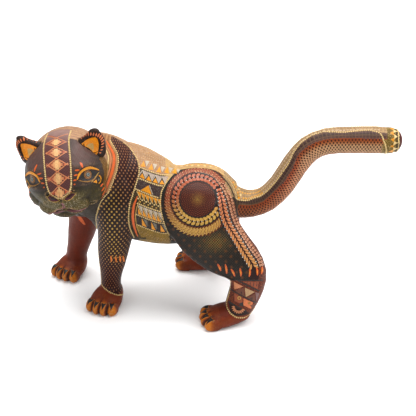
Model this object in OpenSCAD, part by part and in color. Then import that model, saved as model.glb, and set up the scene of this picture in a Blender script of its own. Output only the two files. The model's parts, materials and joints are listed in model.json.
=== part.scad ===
// Prowling carved cat in copal wood: a dowelled torso, head and four legs,
// with a pegged tail and two pegged ears that pull out for packing.
// Units are millimetres, +Z is up, the soles stand on z = 0.

/* [Torso] */
// Greatest width of the barrel
torso_w = 77; // [62:1:92]
// Greatest depth of the chest
torso_h = 96; // [80:1:108]

/* [Head] */
// Width of the skull across the cheeks
head_w = 75; // [64:1:84]
// Height of the skull
head_h = 67; // [60:1:80]
// Turn of the face away from straight sideways, degrees
head_yaw = -4.5; // [-30:1:10]
// Nod of the face, degrees
head_pitch = 5; // [-10:1:15]
// Tilt of the face toward the near shoulder, degrees
head_roll = -8; // [-20:1:5]

/* [Ears] */
// Width of an ear at its base
ear_w = 28; // [24:0.5:34]
// Height of an ear above its seat
ear_h = 20; // [16:0.5:26]
// Diameter of an ear's peg
ear_peg_d = 5; // [4:0.5:7]
// Length of an ear's peg
ear_peg_l = 10; // [7:0.5:14]

/* [Legs] */
// Scale of the forelegs' thickness
foreleg_k = 1; // [0.85:0.01:1.15]
// Scale of the hindlegs' thickness
hindleg_k = 1; // [0.85:0.01:1.15]
// Width of a front paw
front_paw_w = 32; // [26:0.5:38]
// Width of a hind paw
hind_paw_w = 31; // [26:0.5:38]

/* [Tail] */
// Thickness of the tail
tail_d = 25; // [20:0.5:28]
// Diameter of the tail's peg
tail_peg_d = 12; // [9:0.5:14]
// Length of the tail's peg outside the tail
tail_peg_l = 28; // [20:1:34]

/* [Joinery] */
// Radial clearance of a pull-out peg in its hole
peg_clear = 0.06; // [0.02:0.01:0.1]
// Glue line between two seated faces
glue_gap = 0.1; // [0.05:0.01:0.2]
// Diameter of the neck dowel
neck_dowel_d = 12; // [8:0.5:14]
// Diameter of the hip dowels
hip_dowel_d = 10; // [8:0.5:12]
// Diameter of the shoulder dowels
shoulder_dowel_d = 8; // [6:0.5:10]
// Length of the neck dowel
neck_dowel_l = 44; // [30:1:50]
// Length of a hip dowel
hip_dowel_l = 30; // [20:1:34]
// Length of a shoulder dowel
shoulder_dowel_l = 28; // [20:1:32]
// Length of the tail's peg glued inside the tail
tail_peg_in = 14; // [8:1:16]

/* [Hidden] */

// the figure is drawn about the haunches, then moved so that its outline is centred
shift = [-3, 30.5, 0];

tw = torso_w / 2;
th = torso_h / 2;
hw = head_w / 2;
hh = head_h / 2;

// stations: x, y, z, half width, half depth (as fractions for torso, skull and tail)
torso_pts = [
    [-124, -32, 123, 0.60, 0.56],
    [-112, -26, 124, 0.86, 0.84],
    [-97, -21, 122, 0.97, 0.97],
    [-79, -20, 117, 1.00, 1.00],
    [-61, -21, 110, 0.98, 0.945],
    [-42, -22, 103.5, 0.92, 0.865],
    [-24, -22, 103, 0.93, 0.80],
    [-6, -22, 106.5, 0.97, 0.77],
    [11, -22, 107.5, 0.86, 0.65],
    [23, -22, 107, 0.58, 0.44]
];
neck_pts = [
    [-92, -20, 126, 34, 41],
    [-104, -29, 139, 35, 41],
    [-115, -40, 149, 34, 38],
    [-124, -51, 156, 31, 34]
];
skull_pts = [
    [0, 32, -1, 0.62, 0.62],
    [0, 20, 1, 0.87, 0.90],
    [0, 5, 2, 0.99, 1.00],
    [0, -10, 1, 1.00, 0.97],
    [0, -22, -2, 0.91, 0.86],
    [0, -31, -6, 0.72, 0.66],
    [0, -38, -10, 0.50, 0.46]
];
bridge_pts = [
    [0, -12, 21, 15, 12],
    [0, -24, 13, 14, 11],
    [0, -34, 2, 13, 10],
    [0, -39, -5, 12, 8]
];
fl_pts = [
    [-88, -43, 138, 15, 21],
    [-87, -46, 122, 18, 23],
    [-87, -47, 105, 17.5, 20],
    [-89, -46, 84, 15, 17],
    [-92, -43.5, 64, 13, 15],
    [-94.5, -41, 44, 11.5, 12.3],
    [-96.5, -38, 28, 10.6, 10.4],
    [-97, -36, 17, 11, 9.8],
    [-97, -36, 8, 11, 9.5]
];
fr_pts = [
    [-114, 1, 130, 14, 19],
    [-116, 5, 116, 17, 21.5],
    [-119, 8, 100, 16.5, 20],
    [-122, 10, 82, 15, 17.5],
    [-126.5, 13, 64, 13, 15.5],
    [-131, 16, 46, 12.5, 13.8],
    [-135, 18, 30, 12, 12],
    [-138, 19, 18, 11.5, 11],
    [-138, 19, 8, 11, 10.5]
];
hl_pts = [
    [-10.5, -50.2, 110, 17.2, 33],
    [0, -55, 92, 18, 31],
    [16, -61, 76, 17, 26.5],
    [31, -65, 64, 16, 21.5],
    [38, -67.5, 52, 15, 18.5],
    [38, -69, 40, 14, 16.5],
    [34, -70.5, 27, 13.5, 15.3],
    [29.5, -71.5, 15, 13, 13.5],
    [28.5, -71.5, 8, 12.5, 12.5]
];
hr_pts = [
    [-12, 5, 106, 17, 31],
    [-4, 9, 90, 17, 28],
    [6, 13, 76, 16.5, 24],
    [12, 16, 64, 16, 20.5],
    [14, 18, 52, 15, 18.5],
    [12, 19, 40, 14, 16.5],
    [8, 20, 27, 13.5, 15.3],
    [3, 20.5, 15, 13, 13.5],
    [2, 20.5, 8, 12.5, 12.5]
];
tail_pts = [
    [20, -22, 106.5, 1.40, 1.45],
    [31, -22, 104, 1.18, 1.20],
    [43, -22, 103.5, 1.06, 1.06],
    [57, -22, 109, 1, 1],
    [71, -22, 125, 1, 1],
    [83, -22, 147, 1, 1],
    [95, -22, 163, 1, 1],
    [111, -22, 171, 1, 1],
    [134, -22, 172.5, 1, 1],
    [156, -22, 172.5, 1.02, 1.02],
    [171, -22, 172, 0.98, 0.98]
];
paw_pts = [
    [0, 8, 9, 8, 8.5],
    [0, 2, 10, 11.5, 10.5],
    [0, -7, 9, 14.5, 10.5],
    [0, -16, 7, 15.5, 9.5],
    [0, -24, 6, 14, 7.5]
];

// joint frames
head_c = [-128, -55, 160.3];
front_turn = 29;
fl_c = [-88, -45, 114];
fr_c = [-116, 5, 112];
hl_c = [-9, -41, 110];
hr_c = [-9, -3, 106];
neck_c = [-119.5, -42, 149.5];
neck_lean = 63;
neck_turn = -131.5;
tail_c = [27, -22, 105.5];
tail_rise = 12;
ear_x = 26.5;
ear_y = -3;
ear_z = 21.5;
ear_splay = 45;

function unit(v) = v / norm(v);
function at(s, i) = s[max(0, min(len(s) - 1, i))];
function xyz(s) = [s[0], s[1], s[2]];
function cr(a, b, c, d, t) =
    0.5 * (2 * b + (c - a) * t + (2 * a - 5 * b + 4 * c - d) * t * t
    + (3 * b - a - 3 * c + d) * t * t * t);
function fine(s, n) = [
    for (i = [0 : len(s) - 2]) for (k = [0 : n - 1])
        cr(at(s, i - 1), s[i], s[i + 1], at(s, i + 2), k / n),
    s[len(s) - 1]
];
function ring(p, t, ref, a, b, m) =
    let (u = unit(cross(ref, t)), w = cross(t, u))
    [for (k = [0 : m - 1]) p + u * a * cos(360 * k / m) + w * b * sin(360 * k / m)];
function along(s, i) = unit(xyz(at(s, i + 1)) - xyz(at(s, i - 1)));
function sized(s, a, b) = [for (q = s) [q[0], q[1], q[2], q[3] * a, q[4] * b]];

// A smooth limb through elliptical stations, with a dome on each end.
module loft(stations, ref, m, steps, dome_a, dome_b) {
    s = fine(stations, steps);
    n = len(s);
    ta = along(s, 0);
    tb = along(s, n - 1);
    caps = [75, 52, 28];
    e = s[n - 1];
    start = [for (q = caps)
        ring(xyz(s[0]) - ta * dome_a * sin(q), ta, ref, s[0][3] * cos(q), s[0][4] * cos(q), m)];
    middle = [for (i = [0 : n - 1]) ring(xyz(s[i]), along(s, i), ref, s[i][3], s[i][4], m)];
    finish = [for (k = [2 : -1 : 0])
        let (q = caps[k])
        ring(xyz(e) + tb * dome_b * sin(q), tb, ref, e[3] * cos(q), e[4] * cos(q), m)];
    rings = concat(start, middle, finish);
    r = len(rings);
    pts = [for (g = rings) for (p = g) p];
    walls = [for (i = [0 : r - 2]) for (k = [0 : m - 1])
        let (a = i * m + k, b = i * m + (k + 1) % m)
        each [[a, a + m, b], [b, a + m, b + m]]];
    first = [[for (k = [0 : m - 1]) k]];
    last = [[for (k = [m - 1 : -1 : 0]) (r - 1) * m + k]];
    polyhedron(points = pts, faces = concat(walls, first, last), convexity = 6);
}

module egg(c, r, m) {
    translate(c)
        scale(r)
            sphere(r = 1, $fn = m);
}

// ---- carved forms, before they are parted at the joints ----

module trunk_form() {
    loft(sized(torso_pts, tw, th), [0, 0, 1], 36, 3, 16, 7);
    loft(neck_pts, [0, 0, 1], 32, 3, 10, 10);
}

module in_head() {
    translate(head_c)
        rotate([0, 0, head_yaw])
            rotate([head_pitch, 0, 0])
                rotate([0, head_roll, 0])
                    children();
}

module skull_form() {
    in_head() {
        loft(sized(skull_pts, hw, hh), [0, 0, 1], 36, 3, 14, 8);
        loft(bridge_pts, [0, 0, 1], 20, 3, 6, 5);
        for (side = [-1, 1]) {
            egg([side * 10, -35, -14], [13, 10, 9.5], 20);
            egg([side * 20, -17, -11], [15.5, 17, 15], 20);
        }
        egg([0, -31, -22], [14, 11, 7.5], 20);
    }
}

module paw(p, turn, w, k) {
    translate(p)
        rotate([0, 0, turn])
            scale([w / 31, k, 1]) {
                loft(paw_pts, [0, 0, 1], 20, 2, 3, 4);
                for (i = [-1.5 : 1 : 1.5])
                    egg([i * 7.6, -26 + abs(i) * 2.2, 5.4], [4.7, 8.5, 7], 14);
            }
}

module leg_form(pts, k, turn, w, stretch) {
    foot = pts[len(pts) - 1];
    difference() {
        union() {
            loft(sized(pts, k, k), [1, 0, 0], 24, 2, 12, 4);
            paw([foot[0], foot[1], 0], turn, w, stretch);
        }
        translate([foot[0] - 100, foot[1] - 100, -50])
            cube([200, 200, 50]);
    }
}

module legs_form() {
    leg_form(fl_pts, foreleg_k, -20, front_paw_w, 1);
    leg_form(fr_pts, foreleg_k, -30, front_paw_w, 0.9);
    leg_form(hl_pts, hindleg_k, -79, hind_paw_w, 1.12);
    leg_form(hr_pts, hindleg_k, -103, hind_paw_w, 1.12);
    egg([-9.4, -41, 107], [36, 22.8, 32], 32);
    egg([-9, -2, 104], [34, 22, 29], 32);
}

module tail_form() {
    loft(sized(tail_pts, tail_d / 2, tail_d / 2), [0, 1, 0], 24, 2, 3, 11);
}

module figure() {
    trunk_form();
    skull_form();
    legs_form();
    tail_form();
}

// ---- joint frames, +Z along the dowel or peg and out of the torso or head ----

module at_neck() {
    translate(neck_c)
        rotate([0, neck_lean, neck_turn])
            children();
}

module at_tail() {
    translate(tail_c)
        rotate([0, 90 - tail_rise, 0])
            children();
}

module at_foreleg(c, side) {
    translate(c)
        rotate([0, 0, front_turn])
            rotate([side * 90, 0, 0])
                children();
}

module at_hindleg(c, side) {
    translate(c)
        rotate([side * 90, 0, 0])
            children();
}

module at_ear(side) {
    in_head()
        translate([side * ear_x, ear_y, ear_z])
            rotate([0, side * ear_splay, 0])
                children();
}

module rod(d, inward, outward) {
    translate([0, 0, -inward])
        cylinder(h = inward + outward, d = d, $fn = 48);
}

// ---- the space each limb takes, grown by the glue line g ----

module head_zone(g) {
    at_neck()
        translate([-100, -100, -g])
            cube([200, 200, 200]);
}

module tail_zone(g) {
    at_tail()
        translate([-110, -20.5, -g])
            cube([134, 41, 250]);
}

module foreleg_zone(c, side, g) {
    translate(c)
        rotate([0, 0, front_turn])
            scale([1, side, 1]) {
                translate([0, g, 0])
                    rotate([90, 0, 0])
                        cylinder(h = 80, r = 29 + g, $fn = 48);
                translate([-24 - g, -80, -60])
                    cube([48 + 2 * g, 80 + g, 60]);
                translate([-46, -80, -130])
                    cube([92, 100, 130 + 70 - c[2] + g]);
                translate([-46, -80, -130])
                    cube([92, 112, 130 + 40 - c[2]]);
            }
}

module hindleg_zone(c, side, g) {
    translate(c)
        scale([1, side, 1]) {
            translate([0, g, 0])
                rotate([90, 0, 0])
                    cylinder(h = 80, r = 33 + g, $fn = 60);
            translate([-29 - g, -80, -130])
                cube([120, 80 + g, 130]);
            translate([-50, -80, -130])
                cube([120, 104, 130 + 60 - c[2] + g]);
        }
}

module ear_pocket(side, g) {
    at_ear(side)
        translate([0, 0, -g])
            scale([ear_w / 2 + 0.3, 6.5, 1])
                cylinder(r = 1, h = 30, $fn = 40);
}

module ear_blank() {
    difference() {
        loft([
            [0, 0, -3, 6.2, ear_w / 2],
            [0, 0, 3, 6.2, ear_w / 2],
            [-3, 0, ear_h * 0.48, 5.2, ear_w * 0.4],
            [-8, 0, ear_h - 4, 3.6, ear_w * 0.21]
        ], [1, 0, 0], 24, 3, 1, 4);
        egg([-2, -6.5, ear_h * 0.42], [ear_w * 0.33, 5, ear_h * 0.42], 24);
        translate([-40, -40, -20])
            cube([80, 80, 20]);
    }
}

// ---- pieces ----

module moved() {
    translate(shift)
        children();
}

module torso() {
    color([0.45, 0.3, 0.2])
        moved()
            difference() {
                resize([0, 0, 0])
                    difference() {
                        figure();
                        head_zone(glue_gap);
                        tail_zone(glue_gap);
                        foreleg_zone(fl_c, 1, glue_gap);
                        foreleg_zone(fr_c, -1, glue_gap);
                        hindleg_zone(hl_c, 1, glue_gap);
                        hindleg_zone(hr_c, -1, glue_gap);
                    }
                at_neck()
                    rod(neck_dowel_d + glue_gap, neck_dowel_l / 2 + 0.5, 1);
                at_foreleg(fl_c, 1)
                    rod(shoulder_dowel_d + glue_gap, shoulder_dowel_l / 2 + 0.5, 1);
                at_foreleg(fr_c, -1)
                    rod(shoulder_dowel_d + glue_gap, shoulder_dowel_l / 2 + 0.5, 1);
                at_hindleg(hl_c, 1)
                    rod(hip_dowel_d + glue_gap, hip_dowel_l / 2 + 0.5, 1);
                at_hindleg(hr_c, -1)
                    rod(hip_dowel_d + glue_gap, hip_dowel_l / 2 + 0.5, 1);
                at_tail()
                    rod(tail_peg_d + 2 * peg_clear, tail_peg_l + 0.5, 1);
            }
}

module head() {
    color([0.3, 0.26, 0.24])
        moved()
            difference() {
                resize([0, 0, 0])
                    difference() {
                        intersection() {
                            figure();
                            head_zone(0);
                        }
                        ear_pocket(-1, glue_gap);
                        ear_pocket(1, glue_gap);
                    }
                at_neck()
                    rod(neck_dowel_d + glue_gap, 1, neck_dowel_l / 2 + 0.5);
                at_ear(-1)
                    rod(ear_peg_d + 2 * peg_clear, ear_peg_l + 0.5, 1);
                at_ear(1)
                    rod(ear_peg_d + 2 * peg_clear, ear_peg_l + 0.5, 1);
            }
}

module ear(side) {
    color([0.85, 0.5, 0.15])
        moved()
            at_ear(side)
                union() {
                    resize([0, 0, 0])
                        scale([side, 1, 1])
                            ear_blank();
                    rod(ear_peg_d, ear_peg_l, 1);
                }
}

module foreleg(c, side) {
    color([0.5, 0.27, 0.18])
        moved()
            difference() {
                resize([0, 0, 0])
                    difference() {
                        intersection() {
                            figure();
                            foreleg_zone(c, side, 0);
                        }
                        head_zone(glue_gap);
                    }
                at_foreleg(c, side)
                    rod(shoulder_dowel_d + glue_gap, 1, shoulder_dowel_l / 2 + 0.5);
            }
}

module hindleg(c, side) {
    color([0.5, 0.27, 0.18])
        moved()
            difference() {
                resize([0, 0, 0])
                    difference() {
                        intersection() {
                            figure();
                            hindleg_zone(c, side, 0);
                        }
                        tail_zone(glue_gap);
                    }
                at_hindleg(c, side)
                    rod(hip_dowel_d + glue_gap, 1, hip_dowel_l / 2 + 0.5);
            }
}

module tail() {
    color([0.75, 0.55, 0.3])
        moved()
            difference() {
                resize([0, 0, 0])
                    intersection() {
                        figure();
                        tail_zone(0);
                    }
                at_tail()
                    rod(tail_peg_d + glue_gap, 1, tail_peg_in + 0.5);
            }
}

module dowel(d, l) {
    color([0.8, 0.68, 0.5])
        rod(d, l / 2, l / 2);
}

module tail_peg() {
    color([0.8, 0.68, 0.5])
        moved()
            at_tail()
                rod(tail_peg_d, tail_peg_l, tail_peg_in);
}

module neck_dowel() {
    moved()
        at_neck()
            dowel(neck_dowel_d, neck_dowel_l);
}

module shoulder_dowel(c, side) {
    moved()
        at_foreleg(c, side)
            dowel(shoulder_dowel_d, shoulder_dowel_l);
}

module hip_dowel(c, side) {
    moved()
        at_hindleg(c, side)
            dowel(hip_dowel_d, hip_dowel_l);
}

torso();
head();
ear(1);  // ear_left
ear(-1);  // ear_right
foreleg(fl_c, 1);  // foreleg_left
foreleg(fr_c, -1);  // foreleg_right
hindleg(hl_c, 1);  // hindleg_left
hindleg(hr_c, -1);  // hindleg_right
tail();
tail_peg();
neck_dowel();
shoulder_dowel(fl_c, 1);  // shoulder_dowel_left
shoulder_dowel(fr_c, -1);  // shoulder_dowel_right
hip_dowel(hl_c, 1);  // hip_dowel_left
hip_dowel(hr_c, -1);  // hip_dowel_right
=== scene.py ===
"""Looks of a carved and painted wooden cat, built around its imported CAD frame."""
import json
import math

import bpy
import numpy as np
from mathutils import Matrix, Vector
from mathutils.bvhtree import BVHTree
from mathutils.kdtree import KDTree

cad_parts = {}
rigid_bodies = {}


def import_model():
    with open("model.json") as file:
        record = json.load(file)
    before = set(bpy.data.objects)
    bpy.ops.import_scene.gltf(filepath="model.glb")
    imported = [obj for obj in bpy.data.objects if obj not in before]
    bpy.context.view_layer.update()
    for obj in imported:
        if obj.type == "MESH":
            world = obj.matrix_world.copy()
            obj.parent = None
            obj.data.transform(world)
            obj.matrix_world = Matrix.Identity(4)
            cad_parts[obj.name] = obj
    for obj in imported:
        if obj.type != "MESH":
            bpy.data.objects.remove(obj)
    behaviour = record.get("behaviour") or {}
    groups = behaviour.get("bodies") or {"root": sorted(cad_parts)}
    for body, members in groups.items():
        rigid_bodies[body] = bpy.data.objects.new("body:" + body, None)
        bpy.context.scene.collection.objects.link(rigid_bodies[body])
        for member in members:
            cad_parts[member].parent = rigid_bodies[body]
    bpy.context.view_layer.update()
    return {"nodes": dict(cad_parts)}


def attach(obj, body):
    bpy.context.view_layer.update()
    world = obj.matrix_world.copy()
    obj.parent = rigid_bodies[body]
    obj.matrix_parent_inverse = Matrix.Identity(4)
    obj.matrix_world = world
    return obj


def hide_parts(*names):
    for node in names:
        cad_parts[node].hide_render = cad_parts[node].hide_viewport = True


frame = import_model()

# ---------------------------------------------------------------- the carving's own frame
# Shapes and paint are laid out in millimetres in the frame that the figure is drawn in.
# The model's frame is that frame moved by SHIFT.

MM = 0.001
SHIFT = np.array([-3.0, 30.5, 0.0])
# sizes of the voxels that the carved skins are made of
VOXEL, EAR_VOXEL = 0.9, 0.5
# points nearer than this, in metres, are one
WELD_GAP = 2e-6
# the upright plane that splits the near side from the far one
SPINE_Y = -22.0

# the joints: each one's middle on its seat, and how the seat is turned in degrees
HEAD_C, HEAD_YAW, HEAD_PITCH, HEAD_ROLL = (-128, -55, 160.3), -4.5, 5, -8
NECK_C, NECK_LEAN, NECK_TURN = (-119.5, -42, 149.5), 63, -131.5
TAIL_C, TAIL_RISE = (27, -22, 105.5), 12
FORE_TURN = 29
FORE_C = {"left": (-88, -45, 114), "right": (-116, 5, 112)}
HIND_C = {"left": (-9, -41, 110), "right": (-9, -3, 106)}
EAR_SEAT, EAR_SPLAY, EAR_W, EAR_DEEP = (26.5, -3, 21.5), 45, 28, 13
# diameter of the ears' holes, radii of their pegs and of the tail peg's two holes
EAR_HOLE, EAR_PEG_R, TAIL_HOLE_R, TAIL_SOCKET_R = 5.12, 2.5, 6.06, 6.05
# how far the tail's wood reaches to each side
TAIL_HALF = 20.5
SIGN = {"left": 1, "right": -1}


def rot(axis, degrees):
    """A turn about X, Y or Z."""
    return Matrix.Rotation(math.radians(degrees), 4, axis)


def move(point):
    """A shift to a point."""
    return Matrix.Translation(Vector(point))


IN_HEAD = move(HEAD_C) @ rot("Z", HEAD_YAW) @ rot("X", HEAD_PITCH) @ rot("Y", HEAD_ROLL)
AT_NECK = move(NECK_C) @ rot("Z", NECK_TURN) @ rot("Y", NECK_LEAN)
AT_TAIL = move(TAIL_C) @ rot("Y", 90 - TAIL_RISE)


def at_ear(side):
    """From an ear's own frame, its peg along z, to the carving's."""
    seat = (SIGN[side] * EAR_SEAT[0], EAR_SEAT[1], EAR_SEAT[2])
    return IN_HEAD @ move(seat) @ rot("Y", SIGN[side] * EAR_SPLAY)


def apply(matrix, points):
    """Points (n, 3) through a 4x4 matrix."""
    m = np.array(matrix)
    return np.asarray(points, float) @ m[:3, :3].T + m[:3, 3]


def to_model(points):
    """From millimetres in the carving's frame to metres in the model's."""
    return (np.asarray(points, float) + SHIFT) * MM


def to_carving(points):
    """From metres in the model's frame to millimetres in the carving's."""
    return np.asarray(points, float) / MM - SHIFT


# ---------------------------------------------------------------- mesh helpers


def new_object(name, points, faces, smooth=True):
    """A mesh object from points in the carving's frame."""
    mesh = bpy.data.meshes.new(name)
    mesh.from_pydata(to_model(points).tolist(), [], faces)
    mesh.update()
    obj = bpy.data.objects.new(name, mesh)
    bpy.context.scene.collection.objects.link(obj)
    if smooth:
        mesh.polygons.foreach_set("use_smooth", [True] * len(mesh.polygons))
    return obj


def points_of(obj):
    """An object's points in the carving's frame."""
    flat = np.zeros(len(obj.data.vertices) * 3)
    obj.data.vertices.foreach_get("co", flat)
    return to_carving(flat.reshape(-1, 3))


def normals_of(obj):
    """The normals at an object's points."""
    flat = np.zeros(len(obj.data.vertices) * 3, np.float32)
    obj.data.vertex_normals.foreach_get("vector", flat)
    return flat.reshape(-1, 3).astype(float)


def set_points(obj, points):
    """Moves an object's points, given in the carving's frame."""
    obj.data.vertices.foreach_set("co", to_model(points).ravel())
    obj.data.update()


def bake_modifiers(obj):
    """Replaces the object's mesh by its evaluated one."""
    depsgraph = bpy.context.evaluated_depsgraph_get()
    mesh = bpy.data.meshes.new_from_object(obj.evaluated_get(depsgraph))
    obj.modifiers.clear()
    old = obj.data
    obj.data = mesh
    bpy.data.meshes.remove(old)


def weld(obj):
    """Closes the seams that the frame's mesh has along its sharp edges."""
    obj.modifiers.new("weld", "WELD").merge_threshold = WELD_GAP
    bake_modifiers(obj)


def reskin(obj, size):
    """An even skin of quads, size millimetres wide."""
    skin = obj.modifiers.new("skin", "REMESH")
    skin.mode = "VOXEL"
    skin.voxel_size = size * MM
    bake_modifiers(obj)


def drop(obj):
    """Removes an object and its mesh."""
    mesh = obj.data
    bpy.data.objects.remove(obj)
    bpy.data.meshes.remove(mesh)


def copy_of(obj, name):
    """A new object with its own copy of the mesh and no modifiers."""
    twin = bpy.data.objects.new(name, obj.data.copy())
    bpy.context.scene.collection.objects.link(twin)
    return twin


def combine(obj, tools, operation):
    """Boolean of obj with each tool in turn; the tools stay."""
    for tool in tools:
        mod = obj.modifiers.new("combine", "BOOLEAN")
        mod.solver = "MANIFOLD"
        mod.operation = operation
        mod.object = tool
        bake_modifiers(obj)
    return obj


def tool_of(name, points, faces, matrix):
    """A closed solid through a matrix, its faces outward even if the matrix mirrors it."""
    if np.linalg.det(np.array(matrix)[:3, :3]) < 0:
        faces = [f[::-1] for f in faces]
    return new_object(name, apply(matrix, points), faces, smooth=False)


def box_tool(name, low, size, matrix):
    """A box from its low corner, through a matrix."""
    corner = np.array([(x, y, z) for x in (0, 1) for y in (0, 1) for z in (0, 1)], float)
    faces = [(0, 1, 3, 2), (4, 6, 7, 5), (0, 4, 5, 1), (2, 3, 7, 6), (0, 2, 6, 4), (1, 5, 7, 3)]
    return tool_of(name, np.array(low) + corner * np.array(size), faces, matrix)


def rod_tool(name, radius, low, high, matrix, sides=96, squash=1.0):
    """A rod along z from low to high, through a matrix; squash narrows it in y."""
    turn = np.linspace(0, 2 * math.pi, sides, endpoint=False)
    ring = np.stack([radius * np.cos(turn), radius * squash * np.sin(turn)], 1)
    points = [np.column_stack([ring, np.full(sides, z)]) for z in (low, high)]
    faces = [tuple(range(sides))[::-1], tuple(range(sides, 2 * sides))]
    faces += [(k, (k + 1) % sides, sides + (k + 1) % sides, sides + k) for k in range(sides)]
    return tool_of(name, np.concatenate(points), faces, matrix)


def joined(name, tools):
    """Union of the tools as one; the tools are used up."""
    first = tools[0]
    first.name = name
    combine(first, tools[1:], "UNION")
    for tool in tools[1:]:
        drop(tool)
    return first


# ---------------------------------------------------------------- the zones of the joints


def fore_zone(side):
    """The space that a foreleg's wood fills: round at the shoulder, straight below it."""
    c = FORE_C[side]
    m = move(c) @ rot("Z", FORE_TURN) @ Matrix.Scale(SIGN[side], 4, (0, 1, 0))
    return joined("zone", [
        rod_tool("a", 29, 0, 80, m @ rot("X", 90)),
        box_tool("b", (-24, -80, -60), (48, 80, 60), m),
        box_tool("c", (-46, -80, -130), (92, 100, 200 - c[2]), m),
        box_tool("d", (-46, -80, -130), (92, 112, 170 - c[2]), m),
    ])


def hind_zone(side):
    """The space that a hind leg's wood fills: round at the hip, straight below it."""
    c = HIND_C[side]
    m = move(c) @ Matrix.Scale(SIGN[side], 4, (0, 1, 0))
    return joined("zone", [
        rod_tool("a", 33, 0, 80, m @ rot("X", 90)),
        box_tool("b", (-29, -80, -130), (120, 80, 130), m),
        box_tool("c", (-50, -80, -130), (120, 104, 190 - c[2]), m),
    ])


# ---------------------------------------------------------------- carving


def whole_form():
    """The fixed nodes and the tail as one even skin of voxels, with the peg holes filled."""
    parts = ["torso", "head", "tail"] + [f"{leg}_{s}" for leg in ("foreleg", "hindleg") for s in SIGN]
    fillers = ["neck_dowel", "tail_peg"] + [f"{j}_dowel_{s}" for j in ("shoulder", "hip") for s in SIGN]
    solid = None
    for name in parts + fillers:
        piece = copy_of(frame["nodes"][name], name + "_copy")
        weld(piece)
        # the swell closes the glue lines and the clearance round the dowels
        swell = 0.08 if name in parts else 0.2
        set_points(piece, points_of(piece) + normals_of(piece) * swell)
        if solid is None:
            solid = piece
        else:
            combine(solid, [piece], "UNION")
            drop(piece)
    for side in SIGN:
        plug = rod_tool("plug", EAR_HOLE / 2 + 0.2, -10.6, 0.5, at_ear(side))
        combine(solid, [plug], "UNION")
        drop(plug)
    reskin(solid, VOXEL)
    return solid


def biggest_shell(points, faces):
    """The faces of the largest connected shell."""
    parent = np.arange(len(points))
    for _ in range(200):
        low = parent[faces].min(1)
        before = parent.copy()
        for k in range(faces.shape[1]):
            np.minimum.at(parent, faces[:, k], low)
        parent = parent[parent]
        if np.array_equal(before, parent):
            break
    labels = parent[faces[:, 0]]
    names, counts = np.unique(labels, return_counts=True)
    return faces[labels == names[counts.argmax()]]


def quads_of(obj):
    """The corners of each face of a mesh that has only quads."""
    corners = np.zeros(len(obj.data.loops), int)
    obj.data.loops.foreach_get("vertex_index", corners)
    return corners.reshape(-1, 4)


def edges_of(obj):
    """The two ends of each edge."""
    ends = np.zeros(len(obj.data.edges) * 2, int)
    obj.data.edges.foreach_get("vertices", ends)
    return ends.reshape(-1, 2)


def kd_tree(points):
    """A KD-tree over points of two or three coordinates."""
    tree = KDTree(len(points))
    for k, p in enumerate(points):
        tree.insert((*p, 0)[:3], k)
    tree.balance()
    return tree


def relax(points, edges, rounds, weight, shrink=0.5, grow=-0.53):
    """Taubin smoothing: each point moves toward, then away from, the mean of its neighbours."""
    count = len(points)
    a, b = edges[:, 0], edges[:, 1]
    degree = np.bincount(a, minlength=count) + np.bincount(b, minlength=count)
    for step in range(2 * rounds):
        pull = shrink if step % 2 == 0 else grow
        mean = np.empty_like(points)
        for k in range(3):
            total = np.bincount(a, points[b, k], count) + np.bincount(b, points[a, k], count)
            mean[:, k] = total / np.maximum(degree, 1)
        points = points + (mean - points) * (pull * weight)[:, None]
    return points


def ramp(value, low, high):
    """Smooth step from 0 at low to 1 at high."""
    t = np.clip((value - low) / (high - low), 0, 1)
    return t * t * (3 - 2 * t)


def lengths_along(line):
    """The length of a polyline up to each of its points."""
    return np.r_[0, np.cumsum(np.linalg.norm(np.diff(line, axis=0), axis=1))]


def curve_through(knots, step):
    """Catmull-Rom curve through the knots, resampled evenly at about step."""
    k = np.asarray(knots, float)
    ext = np.vstack([2 * k[0] - k[1], k, 2 * k[-1] - k[-2]])
    t = np.linspace(0, 1, 24, endpoint=False)[:, None]
    runs = []
    for a, b, c, d in zip(ext, ext[1:], ext[2:], ext[3:]):
        runs.append(0.5 * (2 * b + (c - a) * t + (2 * a - 5 * b + 4 * c - d) * t**2
                           + (3 * b - a - 3 * c + d) * t**3))
    line = np.vstack(runs + [k[-1:]])
    length = lengths_along(line)
    count = max(2, int(round(length[-1] / step)) + 1)
    even = np.linspace(0, length[-1], count)
    return np.stack([np.interp(even, length, line[:, k]) for k in range(line.shape[1])], 1)


def away_from(points, line):
    """Distance of each point from a polyline."""
    best = np.full(len(points), 1e9)
    for a, b in zip(line, line[1:]):
        ab = b - a
        t = np.clip((points - a) @ ab / (ab @ ab), 0, 1)[:, None]
        best = np.minimum(best, np.linalg.norm(points - a - t * ab, axis=1))
    return best


# ---------------------------------------------------------------- the face, in the head's frame

# sideways place of the face's middle line
FACE_X = 2.5
EYE_MID, EYE_IN, EYE_OUT = (25.8, -31, 11.4), (16.5, -37, 13.2), (33.5, -21.5, 7.6)
NOSTRIL_IN, NOSTRIL_OUT = (1.6, -48, -1.6), (10.5, -44.5, 2.0)
MOUTH = [(0, -47, -13.5), (5, -45, -15.6), (11, -41, -17.6), (17, -34, -18.2), (21.5, -27, -16.8)]
PHILTRUM = [(0, -50, -3), (0, -49, -8), (0, -47, -13.5)]
THROAT = (-124.5, -3, 75)
FACE_STROKES = (
    # both ends and the width: one on the brow, four beside the nose and four on the cheek
    ((19.4, -27, 23), (21, -30, 18.6), 1.9),
    ((14.6, -33.6, 18.4), (18.4, -32, 17.6), 1.5), ((13.2, -36, 14.6), (17, -35, 14.8), 1.4),
    ((12.6, -38.5, 11.2), (15.6, -38, 11.4), 1.4), ((12.4, -40, 8.2), (14.2, -40, 8.2), 1.3),
    ((30, -24, -7), (34.2, -19.5, -6.6), 1.4), ((29.4, -24, -11), (33.8, -19.5, -10.8), 1.4),
    ((28.6, -23.5, -15), (33, -19, -14.8), 1.3), ((27.4, -23, -19), (31.6, -18.5, -18.8), 1.2),
)


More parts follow.
